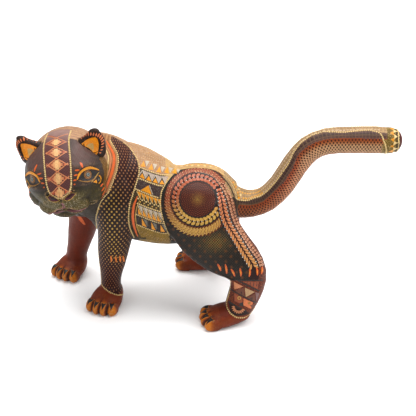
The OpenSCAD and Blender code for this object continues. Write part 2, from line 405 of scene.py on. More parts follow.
def mirrored_x(knots, sign):
    """Knots drawn beside the middle of the face, moved there and mirrored if sign is -1."""
    return np.array([(FACE_X + sign * x, y, z) for x, y, z in knots], float)


def on_skin(tree, line):
    """A line of the head's frame moved onto the nearest skin."""
    found = [tree.find_nearest(Vector(to_model(p)))[0] for p in apply(IN_HEAD, line)]
    return apply(IN_HEAD.inverted(), to_carving(found))


def carve_face(points, normals, tree):
    """Sinks the eye hollows, nostrils and mouth into the skin and raises brow, nose and lips."""
    inverse = IN_HEAD.inverted()
    local = apply(inverse, points)
    rise = np.zeros(len(points))
    near = (np.abs(local[:, 0]) < 45) & (local[:, 1] < 5) & (np.abs(local[:, 2]) < 40)
    p = local[near]
    out = np.zeros(len(p))
    for sign in (1, -1):
        mid, inner, outer = on_skin(tree, mirrored_x([EYE_MID, EYE_IN, EYE_OUT], sign))
        along = (outer - inner) / np.linalg.norm(outer - inner)
        rel = p - mid
        u = rel @ along
        v = np.linalg.norm(rel - u[:, None] * along, axis=1)
        high = rel[:, 2] - u * along[2]
        socket = np.exp(-(u / 9.5) ** 4 - (v / 5.2) ** 4)
        ridge = np.exp(-(u / 12) ** 4 - ((high - 7.2) / 2.4) ** 2) * (v < 14)
        cheek = np.exp(-(u / 11) ** 4 - ((high + 7.5) / 2.6) ** 2) * (v < 14)
        out += -1.5 * socket + 1.1 * ridge + 0.5 * cheek
        lens = on_skin(tree, curve_through(mirrored_x([NOSTRIL_IN, NOSTRIL_OUT], sign), 1))
        out += -1.7 * np.exp(-(away_from(p, lens) / 1.7) ** 2)
        out += 0.7 * np.exp(-((away_from(p, lens) - 3.2) / 1.3) ** 2)
        lips = on_skin(tree, curve_through(mirrored_x(MOUTH, sign), 1))
        gap = away_from(p, lips)
        out += -1.9 * np.exp(-(gap / 1.3) ** 2) + 0.5 * np.exp(-((gap - 3) / 1.4) ** 2)
    groove = on_skin(tree, curve_through(mirrored_x(PHILTRUM, 1), 1))
    out += -1.2 * np.exp(-(away_from(p, groove) / 1.1) ** 2)
    rise[near] = out
    return points + normals * rise[:, None]


def carved_form():
    """One smooth skin for the whole figure, with its face carved."""
    raw = whole_form()
    faces = biggest_shell(points_of(raw), quads_of(raw))
    used, index = np.unique(faces, return_inverse=True)
    form = new_object("form", points_of(raw)[used], index.reshape(faces.shape).tolist())
    drop(raw)
    points, edges = points_of(form), edges_of(form)
    local = apply(IN_HEAD.inverted(), points)
    face = ramp(-local[:, 1], 8, 22) * (np.linalg.norm(local, axis=1) < 62)
    paw = 1 - ramp(points[:, 2], 12, 22)
    weight = 1 - 0.55 * np.maximum(face, paw)
    points = relax(points, edges, 45, weight)
    # haunches, shoulder and wrists get an extra smoothing: centre and reach
    soft = np.zeros(len(points))
    for centre, reach in (((-9, -58, 102), 34), ((-6, 12, 100), 34), ((-60, -48, 118), 26),
                          ((-135, 17, 31), 24), ((-97, -37, 31), 24)):
        soft = np.maximum(soft, 1 - ramp(np.linalg.norm(points - centre, axis=1), reach - 14, reach))
    near = soft[edges].max(1) > 0
    points = relax(points, edges[near], 45, soft, 0.5, 0.5)
    set_points(form, points)
    tree = BVHTree.FromObject(form, bpy.context.evaluated_depsgraph_get())
    set_points(form, carve_face(points, normals_of(form), tree))
    set_points(form, relax(points_of(form), edges, 2, np.ones(len(points))))
    return form


def parted(form):
    """The form cut at the joints into closed pieces, by node name."""
    big = (200, 200, 200)
    zones = {
        "head": box_tool("zone", (-100, -100, 0), big, AT_NECK),
        "tail": joined("zone", [
            box_tool("a", (-110, -TAIL_HALF, 9), (134, 2 * TAIL_HALF, 241), AT_TAIL),
            box_tool("b", (-16.5, -TAIL_HALF, 0), (40.5, 2 * TAIL_HALF, 12), AT_TAIL)]),
    }
    for side in SIGN:
        zones["foreleg_" + side] = fore_zone(side)
        zones["hindleg_" + side] = hind_zone(side)
    rest = copy_of(form, "torso_carved")
    pieces = {}
    for name, zone in zones.items():
        piece = copy_of(rest, name + "_carved")
        pieces[name] = combine(piece, [zone], "INTERSECT")
        combine(rest, [zone], "DIFFERENCE")
        drop(zone)
    pieces["torso"] = rest
    holes = {"torso": [rod_tool("hole", TAIL_HOLE_R, -28.5, 1, AT_TAIL)],
             "tail": [rod_tool("hole", TAIL_SOCKET_R, -1, 14.5, AT_TAIL)], "head": []}
    for side in SIGN:
        reach = EAR_W / 2 + 0.3
        holes["head"].append(rod_tool("pocket", reach, -0.1, 30, at_ear(side), squash=EAR_DEEP / 2 / reach))
        holes["head"].append(rod_tool("hole", EAR_HOLE / 2, -10.5, 1, at_ear(side)))
    for name, tools in holes.items():
        combine(pieces[name], tools, "DIFFERENCE")
        for tool in tools:
            drop(tool)
    return pieces


def carved_ear(side):
    """An ear from its node: an even, smooth blank with a flat foot and its peg."""
    blank = copy_of(frame["nodes"]["ear_" + side], f"ear_{side}_carved")
    weld(blank)
    reskin(blank, EAR_VOXEL)
    edges = edges_of(blank)
    set_points(blank, relax(points_of(blank), edges, 22, np.ones(len(blank.data.vertices))))
    seat = at_ear(side)
    local = apply(seat.inverted(), points_of(blank))
    local[:, 0] *= 1 - (0.3 if side == "right" else 0.16) * ramp(local[:, 2], 1, 15)
    set_points(blank, apply(seat, local))
    above = box_tool("above", (-40, -40, 0), (80, 80, 60), at_ear(side))
    combine(blank, [above], "INTERSECT")
    drop(above)
    peg = rod_tool("peg", EAR_PEG_R, -10, 1, at_ear(side), sides=48)
    combine(blank, [peg], "UNION")
    drop(peg)
    return blank


# ---------------------------------------------------------------- where paint lies on the skin

# the design is laid out as seen from TILT above the side, and the camera looks from there too
TILT = math.radians(31)
LOOK = np.array([0, -math.cos(TILT), math.sin(TILT)])
# middles of the legs from the top down, near side and far side, and of the tail from its root
FORE_NEAR = np.array([(-87, -46, 122), (-87, -47, 105), (-89, -46, 84), (-92, -43.5, 64),
                      (-94.5, -41, 44), (-96.5, -38, 28), (-97, -36, 8)], float)
FORE_FAR = np.array([(-116, 5, 116), (-119, 8, 100), (-122, 10, 82), (-126.5, 13, 64),
                     (-131, 16, 46), (-135, 18, 30), (-138, 19, 8)], float)
HIND_NEAR = np.array([(0, -55, 92), (16, -61, 76), (31, -65, 64), (38, -67.5, 52), (38, -69, 40),
                      (34, -70.5, 27), (28.5, -71.5, 8)], float)
HIND_FAR = np.array([(-4, 9, 90), (6, 13, 76), (12, 16, 64), (14, 18, 52), (12, 19, 40),
                     (8, 20, 27), (2, 20.5, 8)], float)
TAIL_PATH = [(20, -22, 106.5), (31, -22, 104), (43, -22, 103.5), (57, -22, 109), (71, -22, 125),
             (83, -22, 147), (95, -22, 163), (111, -22, 171), (134, -22, 172.5), (156, -22, 172.5),
             (171, -22, 172), (181, -22, 172)]
# by paw: its middle on the ground, its turn, and how wide and long it is for its size
PAWS = {"foreleg_left": ((-97, -36), -20, 1.03, 1), "foreleg_right": ((-138, 19), -30, 1.03, 0.9),
        "hindleg_left": ((28.5, -71.5), -79, 1, 1.12), "hindleg_right": ((2, 20.5), -103, 1, 1.12)}


def at_paw(name):
    """From the frame of a paw, its toes toward -y, to the carving's."""
    (x, y), turn, wide, deep = PAWS[name]
    return move((x, y, 0)) @ rot("Z", turn) @ Matrix.Diagonal((wide, deep, 1, 1))


def on_path(path, z):
    """x and y of a leg's middle at height z."""
    order = np.argsort(path[:, 2])
    return np.stack([np.interp(z, path[order, 2], path[order, k]) for k in (0, 1)], 1)


def near_twin(points):
    """The matching points of the near side, and which points were on the far side."""
    far = points[:, 1] > SPINE_Y
    twin = np.array(points, float)
    twin[far, 1] = 2 * SPINE_Y - twin[far, 1]
    z = points[:, 2]
    for near_path, far_path, reach in ((FORE_NEAR, FORE_FAR, (18, 85)), (HIND_NEAR, HIND_FAR, (24, 55))):
        middle = on_path(far_path, z)
        mirror = middle * (1, -1) + (0, 2 * SPINE_Y)
        away = np.linalg.norm(points[:, :2] - middle, axis=1)
        share = far * (1 - ramp(away, *reach))
        if far_path is HIND_FAR:
            share = share * (1 - ramp(z, 72, 96))
        twin[:, :2] += (on_path(near_path, z) - mirror) * share[:, None]
    twin[:, 2] += 14.5 * far * ramp(z, 80, 116) * ramp(points[:, 0], -58, -34)
    return twin, far


def side_chart(twin):
    """Flat coordinates in mm on the near side, seen square on from TILT above the side."""
    return np.stack([twin[:, 0], (twin[:, 2] - 85) * math.cos(TILT) + twin[:, 1] * math.sin(TILT)], 1)


# a spot further than this from every point of its chart is off the chart, in mm
GAP = 2.2


class Chart:
    """Flat coordinates over part of the skin, and the way back from them to the skin."""

    def __init__(self, points, normals, flat):
        self.points, self.normals = points, normals
        self.tree = kd_tree(flat)

    def place(self, spots):
        """Places on the skin and their normals, and which of the spots the chart covers."""
        places, normals, covered = [], [], []
        for u, v in spots:
            found = self.tree.find_n((u, v, 0), 4)
            covered.append(found[0][2] < GAP)
            first = self.points[found[0][1]]
            found = [f for f in found if np.linalg.norm(self.points[f[1]] - first) < 2.5]
            index = [f[1] for f in found]
            share = np.array([1 / (f[2] + 0.05) ** 2 for f in found])
            share /= share.sum()
            places.append(share @ self.points[index])
            normal = share @ self.normals[index]
            normals.append(normal / np.linalg.norm(normal))
        return np.array(places), np.array(normals), np.array(covered)


def seen_from(points, normals, tree, direction):
    """Which points a distant eye in that direction sees."""
    ahead = normals @ direction > 0.03
    look = Vector(direction)
    starts = to_model(points + normals * 0.4)
    for k in np.flatnonzero(ahead):
        if tree.ray_cast(Vector(starts[k]), look)[0] is not None:
            ahead[k] = False
    return ahead


def tail_chart(points):
    """Length along the tail and the angle from its top, towards the near side, in degrees."""
    line = curve_through(TAIL_PATH, 1.5)
    tree = kd_tree(line)
    steps = lengths_along(line)
    tangent = np.gradient(line, axis=0)
    tangent /= np.linalg.norm(tangent, axis=1)[:, None]
    index = np.array([tree.find(p)[1] for p in points])
    rel = points - line[index]
    t = tangent[index]
    along = steps[index] + (rel * t).sum(1)
    up = np.stack([-t[:, 2], np.zeros(len(t)), t[:, 0]], 1)
    turn = np.degrees(np.arctan2(-rel[:, 1], (rel * up).sum(1)))
    return np.stack([along, turn], 1)


# millimetres on the forehead for each degree round the head
CROWN_SCALE = 0.66


def crown_chart(local):
    """Sideways distance from the middle line of the face and the angle up over the forehead."""
    turn = np.degrees(np.arctan2(local[:, 2], -local[:, 1]))
    middle = FACE_X - 4.4 * ramp(turn, 25, 90)
    return np.stack([local[:, 0] - middle, turn * CROWN_SCALE], 1)


def plane_chart(points, normals, centre, across, out, reach):
    """A small chart on the plane through centre that faces out, with its first axis across."""
    out = np.array(out, float) / np.linalg.norm(out)
    across = np.array(across, float) - np.dot(across, out) * out
    across /= np.linalg.norm(across)
    up = np.cross(out, across)
    rel = points - centre
    near = (np.linalg.norm(rel, axis=1) < reach) & (normals @ out > 0.15)
    return Chart(points[near], normals[near], np.stack([rel[near] @ across, rel[near] @ up], 1))


# ---------------------------------------------------------------- colours

# paint reflects PIGMENT of its nominal light, and DEPTH above 1 deepens the dark colours
PIGMENT, DEPTH = 0.62, 1.08
SHEEN_PAINT, SHEEN_RELIEF = 0.14, 0.3
PAINT = {
    "cream": (255, 220, 150), "sand": (206, 154, 100), "mustard": (252, 166, 16), "gold": (226, 178, 84),
    "salmon": (204, 96, 60), "peach": (226, 146, 96), "orange": (238, 108, 30), "maroon": (60, 19, 19),
    "black": (20, 17, 15), "charcoal": (60, 47, 41), "olive": (104, 92, 40), "tan": (206, 164, 116),
    "brown": (120, 60, 30), "redbrown": (124, 42, 20), "grey": (128, 122, 108), "ash": (195.5, 173.5, 156),
    "mauve": (140, 100, 96), "pale": (214, 198, 176), "steel": (138, 150, 146), "bark": (36, 23, 19),
    # sun is mustard made brighter than real paint, painted light that lifts the shaded ear hollows
    "rust": (168, 78, 26), "wine": (96, 26, 48), "lip": (184, 116, 126), "sun": (292, 184, 26),
    "amber": (232, 138, 24), "ember": (238, 132, 74), "ochre": (176, 122, 40), "white": (246, 240, 224),
    "moss": (46, 42, 22),
}


def colour_of(colour):
    """A colour in 8-bit sRGB, given by its name in PAINT or as numbers."""
    return np.asarray(PAINT[colour] if isinstance(colour, str) else colour, float)


def linear(colour):
    """Pigment in linear light, from its lit look in 8-bit sRGB."""
    c = colour_of(colour) / 255
    return PIGMENT * np.where(c <= 0.04045, c / 12.92, ((c + 0.055) / 1.055) ** 2.4) ** DEPTH


def mixed(first, second, share):
    """Part way from one colour or point to another; the share may be one number for each skin point."""
    share = np.asarray(share, float)[..., None]
    return colour_of(first) * (1 - share) + colour_of(second) * share


# ---------------------------------------------------------------- raised paint

# a brush stroke is this much higher along its middle, in mm
CROWN = 0.1


def facing_out(faces, top, normals):
    """The faces, turned over if the first of them looks into the wood."""
    a, b, c = faces[0][:3]
    inward = np.cross(top[b] - top[a], top[c] - top[a]) @ normals[a] < 0
    return [f[::-1] for f in faces] if inward else faces


def store(mesh, label, values):
    """Keeps one value for each point of the mesh, under a label that the materials read."""
    kind, field = ("FLOAT_VECTOR", "vector") if label == "chart" else ("FLOAT_COLOR", "color")
    if field == "color" and values.shape[1] == 3:
        values = np.column_stack([values, np.ones(len(values))])
    mesh.attributes.new(label, kind, "POINT").data.foreach_set(field, values.ravel())


class Relief:
    """Collects thin raised shapes of paint, by the carved piece that they lie on."""

    def __init__(self, owner_tree, owner_names):
        self.tree, self.names = owner_tree, owner_names
        self.store = {}

    def add(self, top, normals, faces, colour, lift, sink=0.25):
        """A closed slab: the top faces, their underside inside the wood, and the walls."""
        centre = top.mean(0)
        owner = self.names[self.tree.find(centre)[1]]
        points, all_faces, tints = self.store.setdefault(owner, ([], [], []))
        base, count = len(points), len(top)
        points.extend(top + normals * lift)
        points.extend(top - normals * sink)
        walls = {}
        for f in faces:
            for a, b in zip(f, f[1:] + f[:1]):
                if (b, a) in walls:
                    del walls[(b, a)]
                else:
                    walls[(a, b)] = True
        for f in faces:
            all_faces.append([base + k for k in f])
            all_faces.append([base + count + k for k in reversed(f)])
        for a, b in walls:
            all_faces.append([base + b, base + a, base + count + a, base + count + b])
        tints.extend([linear(colour)] * (2 * count))

    def fill(self, chart, outline, colour, lift=0.16, cell=1.6):
        """A flat shape given by its outline, anticlockwise, in the chart's coordinates."""
        spots = [tuple(p) for p in outline]
        area = sum(a[0] * b[1] - b[0] * a[1] for a, b in zip(spots, spots[1:] + spots[:1]))
        if area < 0:
            spots = spots[::-1]
        middle = tuple(np.mean(spots, axis=0))
        spots.append(middle)
        hub = len(spots) - 1
        faces = [[k, (k + 1) % hub, hub] for k in range(hub)]
        for _ in range(3):
            longest = max(math.dist(spots[a], spots[b]) for f in faces for a, b in zip(f, f[1:]))
            if longest < cell * 1.6:
                break
            halves, finer = {}, []

            def half(a, b):
                key = (min(a, b), max(a, b))
                if key not in halves:
                    halves[key] = len(spots)
                    spots.append(((spots[a][0] + spots[b][0]) / 2, (spots[a][1] + spots[b][1]) / 2))
                return halves[key]

            for a, b, c in faces:
                ab, bc, ca = half(a, b), half(b, c), half(c, a)
                finer += [[a, ab, ca], [ab, b, bc], [ca, bc, c], [ab, bc, ca]]
            faces = finer
        top, normals, covered = chart.place(spots)
        if not covered.all():
            return
        self.add(top, normals, facing_out(faces, top, normals), colour, lift)

    def stroke(self, chart, knots, width, colour, lift=0.18, taper=True, step=1.1):
        """A brush stroke along the knots, pointed at both ends if it tapers."""
        line = curve_through(knots, step)
        line = line[longest_run(chart.place(line)[2])]
        count = len(line)
        if count < 3:
            return
        run = np.gradient(line, axis=0)
        run /= np.linalg.norm(run, axis=1)[:, None] + 1e-9
        side = np.stack([-run[:, 1], run[:, 0]], 1)
        t = np.linspace(0, 1, count)
        full = np.clip(np.sin(math.pi * (0.04 + 0.92 * t)), 0, 1) ** 0.55 if taper else np.ones(count)
        reach = (width / 2 * full)[:, None]
        spots = np.concatenate([line - side * reach, line, line + side * reach])
        top, normals, _ = chart.place(spots)
        faces = []
        for k in range(count - 1):
            for row in (0, count):
                faces.append([row + k, row + k + 1, row + count + k + 1, row + count + k])
        faces = facing_out(faces, top, normals)
        top[count:2 * count] += normals[count:2 * count] * CROWN
        self.add(top, normals, faces, colour, lift)

    def bead(self, place, normal, radius, colour, high=0.6, sides=8):
        """One dot of thick paint: a low dome with its foot in the wood."""
        side = np.cross(normal, (0.3, 0.5, 0.81))
        side /= np.linalg.norm(side)
        other = np.cross(normal, side)
        owner = self.names[self.tree.find(place)[1]]
        points, faces, tints = self.store.setdefault(owner, ([], [], []))
        base = len(points)
        turn = np.linspace(0, 2 * math.pi, sides, endpoint=False)
        for share, up in ((0.9, -0.25), (1.0, 0.05), (0.62, high * 0.78)):
            ring = np.outer(np.cos(turn), side) + np.outer(np.sin(turn), other)
            points.extend(place + radius * (share * ring + up * normal))
        points.append(place + radius * high * normal)
        points.append(place - radius * 0.3 * normal)
        for row in (0, sides):
            for k in range(sides):
                n = (k + 1) % sides
                low, high = base + row, base + row + sides
                faces.append([low + k, low + n, high + n, high + k])
        tip, foot = base + 3 * sides, base + 3 * sides + 1
        for k in range(sides):
            n = (k + 1) % sides
            faces.append([base + 2 * sides + k, base + 2 * sides + n, tip])
            faces.append([base + n, base + k, foot])
        tints.extend([linear(colour)] * (3 * sides + 2))

    def beads(self, chart, knots, colour="cream", radius=0.78, pitch=1.9):
        """A row of dots along the knots, evenly spaced on the skin itself."""
        line = curve_through(knots, 1.2)
        length = lengths_along(chart.place(line)[0])
        even = np.linspace(0, length[-1], max(2, int(round(length[-1] / pitch)) + 1))
        flat = np.stack([np.interp(even, length, line[:, k]) for k in (0, 1)], 1)
        for place, normal, covered in zip(*chart.place(flat)):
            if covered:
                self.bead(place, normal, radius, colour)

    def objects(self, coat):
        """One object for each piece that was painted on, by the piece's name."""
        made = {}
        for owner, (points, faces, tints) in self.store.items():
            obj = new_object(owner + "_paintwork", np.array(points), faces)
            store(obj.data, "tint", np.array(tints))
            obj.data.set_sharp_from_angle(angle=math.radians(60))
            obj.data.materials.append(coat)
            made[owner] = obj
        return made


def longest_run(flags):
    """Indices of the longest unbroken run of true flags."""
    best, run = [], []
    for k, flag in enumerate(flags):
        run = run + [k] if flag else []
        if len(run) > len(best):
            best = run
    return best


def toward(angle):
    """The unit vector at an angle in radians."""
    return np.array([math.cos(angle), math.sin(angle)])


def leaf(centre, heading, length, width):
    """Outline of a pointed leaf; heading in degrees."""
    c, s = toward(math.radians(heading))
    shape = [(-0.5, 0), (-0.25, -0.4), (0.05, -0.5), (0.32, -0.28), (0.5, 0), (0.32, 0.28), (0.05, 0.5),
             (-0.25, 0.4)]
    return [(centre[0] + x * length * c - y * width * s, centre[1] + x * length * s + y * width * c)
            for x, y in shape]


def round_spot(centre, radius, sides=14):
    """Outline of a round dot."""
    return [np.array(centre) + radius * toward(2 * math.pi * k / sides) for k in range(sides)]


# ---------------------------------------------------------------- the painted design, near side, in mm

FORE_FRONT = [(-90, 62), (-83, 49), (-83, 38), (-86, 27), (-91, 15), (-97, 8), (-102, -1), (-106, -11),
              (-108.5, -24), (-108, -37), (-107, -52), (-107, -68), (-106, -76), (-100, -82),
              (-91, -86), (-84, -86.5)]
FORE_REAR = [(-78, 62), (-70, 52), (-65, 43), (-64, 32), (-68, 18), (-72, 6), (-74, -6), (-74, -17),
             (-71, -28)]
HAUNCH_EDGE = [(-34, 31), (-39, 24), (-43, 16), (-44.5, 8), (-44.5, 1), (-43, -8), (-40.5, -17),
               (-37, -25.5)]
BAND_LOW = {"A": 31, "B": 20.5, "C": 9, "D": -3.5, "E": -14.5, "F": -24}
MEDAL = (-9.5, 8.1)
DISC_R, BRAID_R, LEAF_R = 16.4, 25, 31
FLANK_ROWS = (
    # the lines below and above, how many, the first and the pitch, then the shapes of one repeat:
    # triangles, strokes with their width and dots with their radius, as (offset of u, share of the way up)
    ("B", "A", 4, -61, 6, [("mustard", 0, [(-2.4, 0.14), (2.4, 0.14), (0, 0.55)]),
                           ("ash", 0, [(0.2, 0.86), (5.6, 0.86), (2.9, 0.3)]),
                           ("pale", 0.6, [(-3.1, 0.2), (0, 0.85)]),
                           ("pale", 0.6, [(0, 0.85), (3.1, 0.2)])]),
    ("D", "C", 6, -65.5, 3.7, [("mustard", 0, [(0, 0.9), (3, 0.9), (3, 0.48)]),
                               ("cream", 0.5, [(-0.6, 0.88), (2.8, 0.4)]),
                               ("cream", 0.75, [(0.6, 0.38)]),
                               ("gold", 0.75, [(2.4, 0.2)])]),
    ("E", "D", 5, -64, 4.4, [("mustard", 0, [(-1.2, 0.12), (2.4, 0.12), (-1.2, 0.62)]),
                             ("pale", 0, [(-0.6, 0.88), (2.8, 0.88), (3, 0.3)]),
                             ("cream", 0.5, [(-1.4, 0.85), (2.9, 0.14)])]),
    ("F", "E", 3, -62.5, 8.6, [("mustard", 0, [(0.5, 0.15), (4.6, 0.15), (0.5, 0.85)]),
                               ("grey", 0, [(1.6, 0.86), (5.4, 0.8), (5.4, 0.2)])]),
)
STRIP_LEFT = [(4, 27), (7.3, 18), (8.3, 10), (10.5, -7), (14.3, -17), (20.5, -27.5), (32.8, -48.5),
              (38.6, -57.5)]
STRIP_MID = [(-9, 33.2), (4.3, 28.7), (11.7, 19.3), (16.4, 9), (19.4, -3), (23, -14), (31.5, -28),
             (39, -40), (46, -50), (48.3, -56)]
STRIP_RIGHT = [(-20, 37.5), (-8, 39.8), (4, 36.3), (12.5, 30), (19.3, 22.5), (23.7, 14), (26, 5),
               (29, -9), (35, -22), (43, -34), (51, -45), (54, -55)]
ANKLE = [(21, -70), (21.7, -75), (20.5, -82), (18.7, -89), (18.2, -95), (21.2, -101), (26.7, -105),
         (31, -106), (36, -105.5), (42, -101.6), (45.5, -96.6)]


def band_rise(u):
    """How much the lines of the flank rise toward the shoulder."""
    return 8 * np.clip((-44 - u) / 22, 0, 2) ** 1.2


def band_line(name, first, last):
    """One of the beaded lines that divide the flank, sagging from the shoulder to the haunch."""
    spots = np.arange(first, last + 1, 4.0)
    return np.stack([spots, BAND_LOW[name] + band_rise(spots)], 1)


def band_point(u, low, high, share):
    """A point at a share of the way from line low to line high, above u."""
    return (u, BAND_LOW[low] * (1 - share) + BAND_LOW[high] * share + band_rise(u))


def paint_flank(relief, chart):
    """The beaded bands of the flank with their rows of triangles."""
    ends = {"A": (-63, -34), "B": (-63, -40), "C": (-67, -44), "D": (-65.5, -44), "E": (-67, -42.5),
            "F": (-67, -38)}
    for name, (first, last) in ends.items():
        relief.beads(chart, band_line(name, first, last))
    relief.beads(chart, FORE_REAR)
    relief.beads(chart, HAUNCH_EDGE)
    for up in (9.5, 12, 14.5, 17, 19.5):
        row = band_line("A", -62 + (up - 9.5) * 0.6, -30) + (0, up)
        relief.beads(chart, row, mixed("tan", "cream", 0.5), radius=0.42, pitch=2.2)
    for k in range(5):
        u = -60.5 + k * 7.2
        base = BAND_LOW["A"] + band_rise(u) + 2.2
        relief.fill(chart, [(u - 2.4, base), (u + 2.2, base - 0.8), (u + 0.6, base + 5.2)], "mustard")
        relief.fill(chart, [(u + 1.8, base + 5.4), (u + 3.1, base - 0.4), (u + 5.6, base + 4.6)], "pale")
    relief.fill(chart, [(-62.3, 16.7), (-52.5, 12.5), (-55.3, 21)], "mustard")
    relief.stroke(chart, [(-51.6, 12.6), (-54.5, 21)], 0.6, "pale", taper=False)
    for low, high, count, first, pitch, shapes in FLANK_ROWS:
        for k in range(count):
            for ink, width, spots in shapes:
                line = [band_point(first + k * pitch + du, low, high, share) for du, share in spots]
                if len(line) == 3:
                    relief.fill(chart, line, ink)
                elif len(line) == 2:
                    relief.stroke(chart, line, width, ink, taper=False)
                else:
                    relief.fill(chart, round_spot(line[0], width, 8), ink)
    relief.stroke(chart, [(-65.5, 11), (-69, 2), (-70.4, -8), (-69.6, -18), (-67.2, -27)], 2.3, "orange",
                  lift=0.3)
    relief.stroke(chart, [(-63.4, 8), (-66.5, 0), (-67.8, -8), (-67.2, -17), (-65, -25)], 0.6, "gold")
    relief.stroke(chart, [(-66, -36), (-55, -38), (-44, -39), (-34, -38)], 0.7, "tan", taper=False)
    for k in range(26):
        u = -66 + k * 1.25
        w = -28.5 - 0.12 * k + (k % 2) * 1.6 + 6 * max(0, (-50 - u) / 16)
        relief.fill(chart, round_spot((u, w), 0.35, 6), "tan")


def at_share(line, share):
    """The point at a share of the way along an evenly spaced line."""
    steps = np.linspace(0, 1, len(line))
    return np.array([np.interp(share, steps, line[:, k]) for k in (0, 1)])


def herringbone(relief, chart, left, right, pitch, inks, angle=34):
    """Two rows of leaves between two lines that point along them and out to their sides."""
    a, b = curve_through(left, 0.5), curve_through(right, 0.5)
    count = max(2, int(lengths_along(a)[-1] / pitch))
    for k in range(count):
        t = (k + 0.5) / count
        p, q = at_share(a, t), at_share(b, t)
        run = (at_share(a, t + 0.02) + at_share(b, t + 0.02) - p - q) / 2
        width = np.linalg.norm(q - p)
        cross = (q - p) / max(width, 1e-6)
        heading = math.degrees(math.atan2(run[1], run[0]))
        mirrored = run[0] * cross[1] < run[1] * cross[0]
        for side in (1, -1):
            lean = side * angle * (1 if mirrored else -1)
            centre = p + (q - p) * (0.5 - side * 0.23)
            relief.fill(chart, leaf(centre, heading + 180 + lean, width * 0.5875, pitch * 0.62), inks(t))
            tip = centre - (q - p) * side * 0.17 - run / max(np.linalg.norm(run), 1e-6) * 0.6
            relief.fill(chart, round_spot(tip, 0.42, 6), "white", lift=0.3)


def medal_ink(t):
    """From salmon at the crown of the medallion to gold at its foot."""
    low = 0.5 + 0.5 * math.sin(t)
    crown = mixed(mixed("salmon", "peach", 0.35), "brown", 0.16)
    return mixed("gold", crown, ramp(low, 0.1, 0.62))


def right_of(line, spot):
    """How far a spot lies to the right of a line that runs downward."""
    line = curve_through(line, 2)
    k = int(np.argmin(np.linalg.norm(line - spot, axis=1)))
    k = min(max(k, 1), len(line) - 2)
    run = line[k + 1] - line[k - 1]
    rel = np.array(spot) - line[k]
    return (run[1] * rel[0] - run[0] * rel[1]) / -np.linalg.norm(run)


def past(line, spot, slack, below):
    """Whether a spot lower than below is right of a line, give or take the slack."""
    return right_of(line, spot) > slack and spot[1] < below


def paint_medallion(relief, chart):
    """The ring of leaves, the feathers round it and the dark lines between them."""
    mid = np.array(MEDAL)
    for a in 2 * math.pi * (np.arange(34) + 0.5) / 34:
        tangent = math.degrees(a) + 90
        for radius, lean in ((19.1, -36), (22.9, 36)):
            spot = mid + radius * toward(a)
            if not past(STRIP_LEFT, spot, -1.2, 18.5):
                relief.fill(chart, leaf(spot, tangent + lean, 4.9, 2.9), medal_ink(a))
        spot = mid + 20.9 * toward(a)
        if not past(STRIP_LEFT, spot, -1.2, 18.5):
            relief.fill(chart, round_spot(spot, 0.4, 6), "white", lift=0.3)
    for a in 2 * math.pi * np.arange(60) / 60:
        low = max(0, -math.sin(a + 0.15)) ** 1.3
        reach = 4.6 + 4.6 * low
        spot = mid + (BRAID_R + 0.9 + reach / 2) * toward(a)
        if past(STRIP_LEFT, spot, -1.5, 24):
            continue
        if right_of(STRIP_RIGHT, spot) > -1.0 and spot[1] > 14:
            continue
        ink = mixed(mixed(medal_ink(a), "salmon", 0.25 * (1 - low)), "maroon", 0.2 * (1 - low))
        relief.fill(chart, leaf(spot, math.degrees(a) - 38, reach + 1.9, 2.7), ink, lift=0.2)
        half = reach * 0.4 * toward(a - 0.6)
        relief.stroke(chart, [spot - half, spot + half], 0.4, "brown", lift=0.3)
        for up in (0.25, 0.75):
            dot = spot + reach * (up - 0.5) * toward(a)
            relief.fill(chart, round_spot(dot, 0.42, 6), mixed("peach", "cream", 0.6), lift=0.34)
    for radius in (DISC_R + 0.5, BRAID_R):
        ring = [mid + radius * toward(math.radians(a)) for a in range(8, 353, 8)]
        knots = [p for p in ring if right_of(STRIP_LEFT, p) < 0.2 or p[1] > 26]
        parts, run = [], [knots[0]]
        for p in knots[1:]:
            if math.dist(p, run[-1]) > 6:
                parts.append(run)
                run = []
            run.append(p)
        parts.append(run)
        for part in parts:
            if len(part) > 2:
                relief.stroke(chart, part, 0.9, "black", lift=0.24, taper=False)


def strip_ink(t):
    """From salmon at the top of the braid to gold at its foot."""
    return mixed(mixed("salmon", "peach", 0.5), mixed("peach", "gold", 0.5), t)


def paint_braid(relief, chart):
    """The herringbone down the leg and the two rows of eyelets behind it."""
    herringbone(relief, chart, STRIP_LEFT[1:], STRIP_MID[2:], 3.5, strip_ink)
    for line in (STRIP_LEFT[1:], STRIP_MID, STRIP_RIGHT[:8]):
        relief.stroke(chart, line, 0.9, "black", lift=0.24, taper=False)
    inner, outer = curve_through(STRIP_MID, 0.5), curve_through(STRIP_RIGHT, 0.5)
    for t in (np.arange(40) + 0.5) / 40:
        p = inner[int(t * (len(inner) - 1))]
        q = outer[int(t * (len(outer) - 1))]
        for share in (0.28, 0.66):
            spot = p + (q - p) * share
            relief.fill(chart, round_spot(spot, 1.15, 8), mixed("peach", "white", 0.35), lift=0.14)
            relief.fill(chart, round_spot(spot + (0.1, 0.15), 0.6, 6), "rust", lift=0.22)


def paint_crest(relief, chart):
    """A row of beads and two rows of cells over the top of the haunch."""
    crest = curve_through([(-30, 38), (-20, 41.5), (-8, 43.6), (4, 40.4), (13, 34), (20.5, 26.5), (25.4, 17),
                           (27.6, 8)], 2.6)
    relief.beads(chart, crest, radius=0.55, pitch=1.6)
    for k, (a, b) in enumerate(zip(crest, crest[1:])):
        run = (b - a) / np.linalg.norm(b - a)
        out = np.array([-run[1], run[0]])
        for rise, inks in ((1.3, ("gold", "mustard")), (3.6, ("cream", "tan"))):
            ends = np.array([a + run * 0.3, b - run * 0.3]) + out * rise
            relief.fill(chart, [*ends, *(ends[::-1] + out * 1.7)], inks[k % 2], lift=0.12, cell=9)


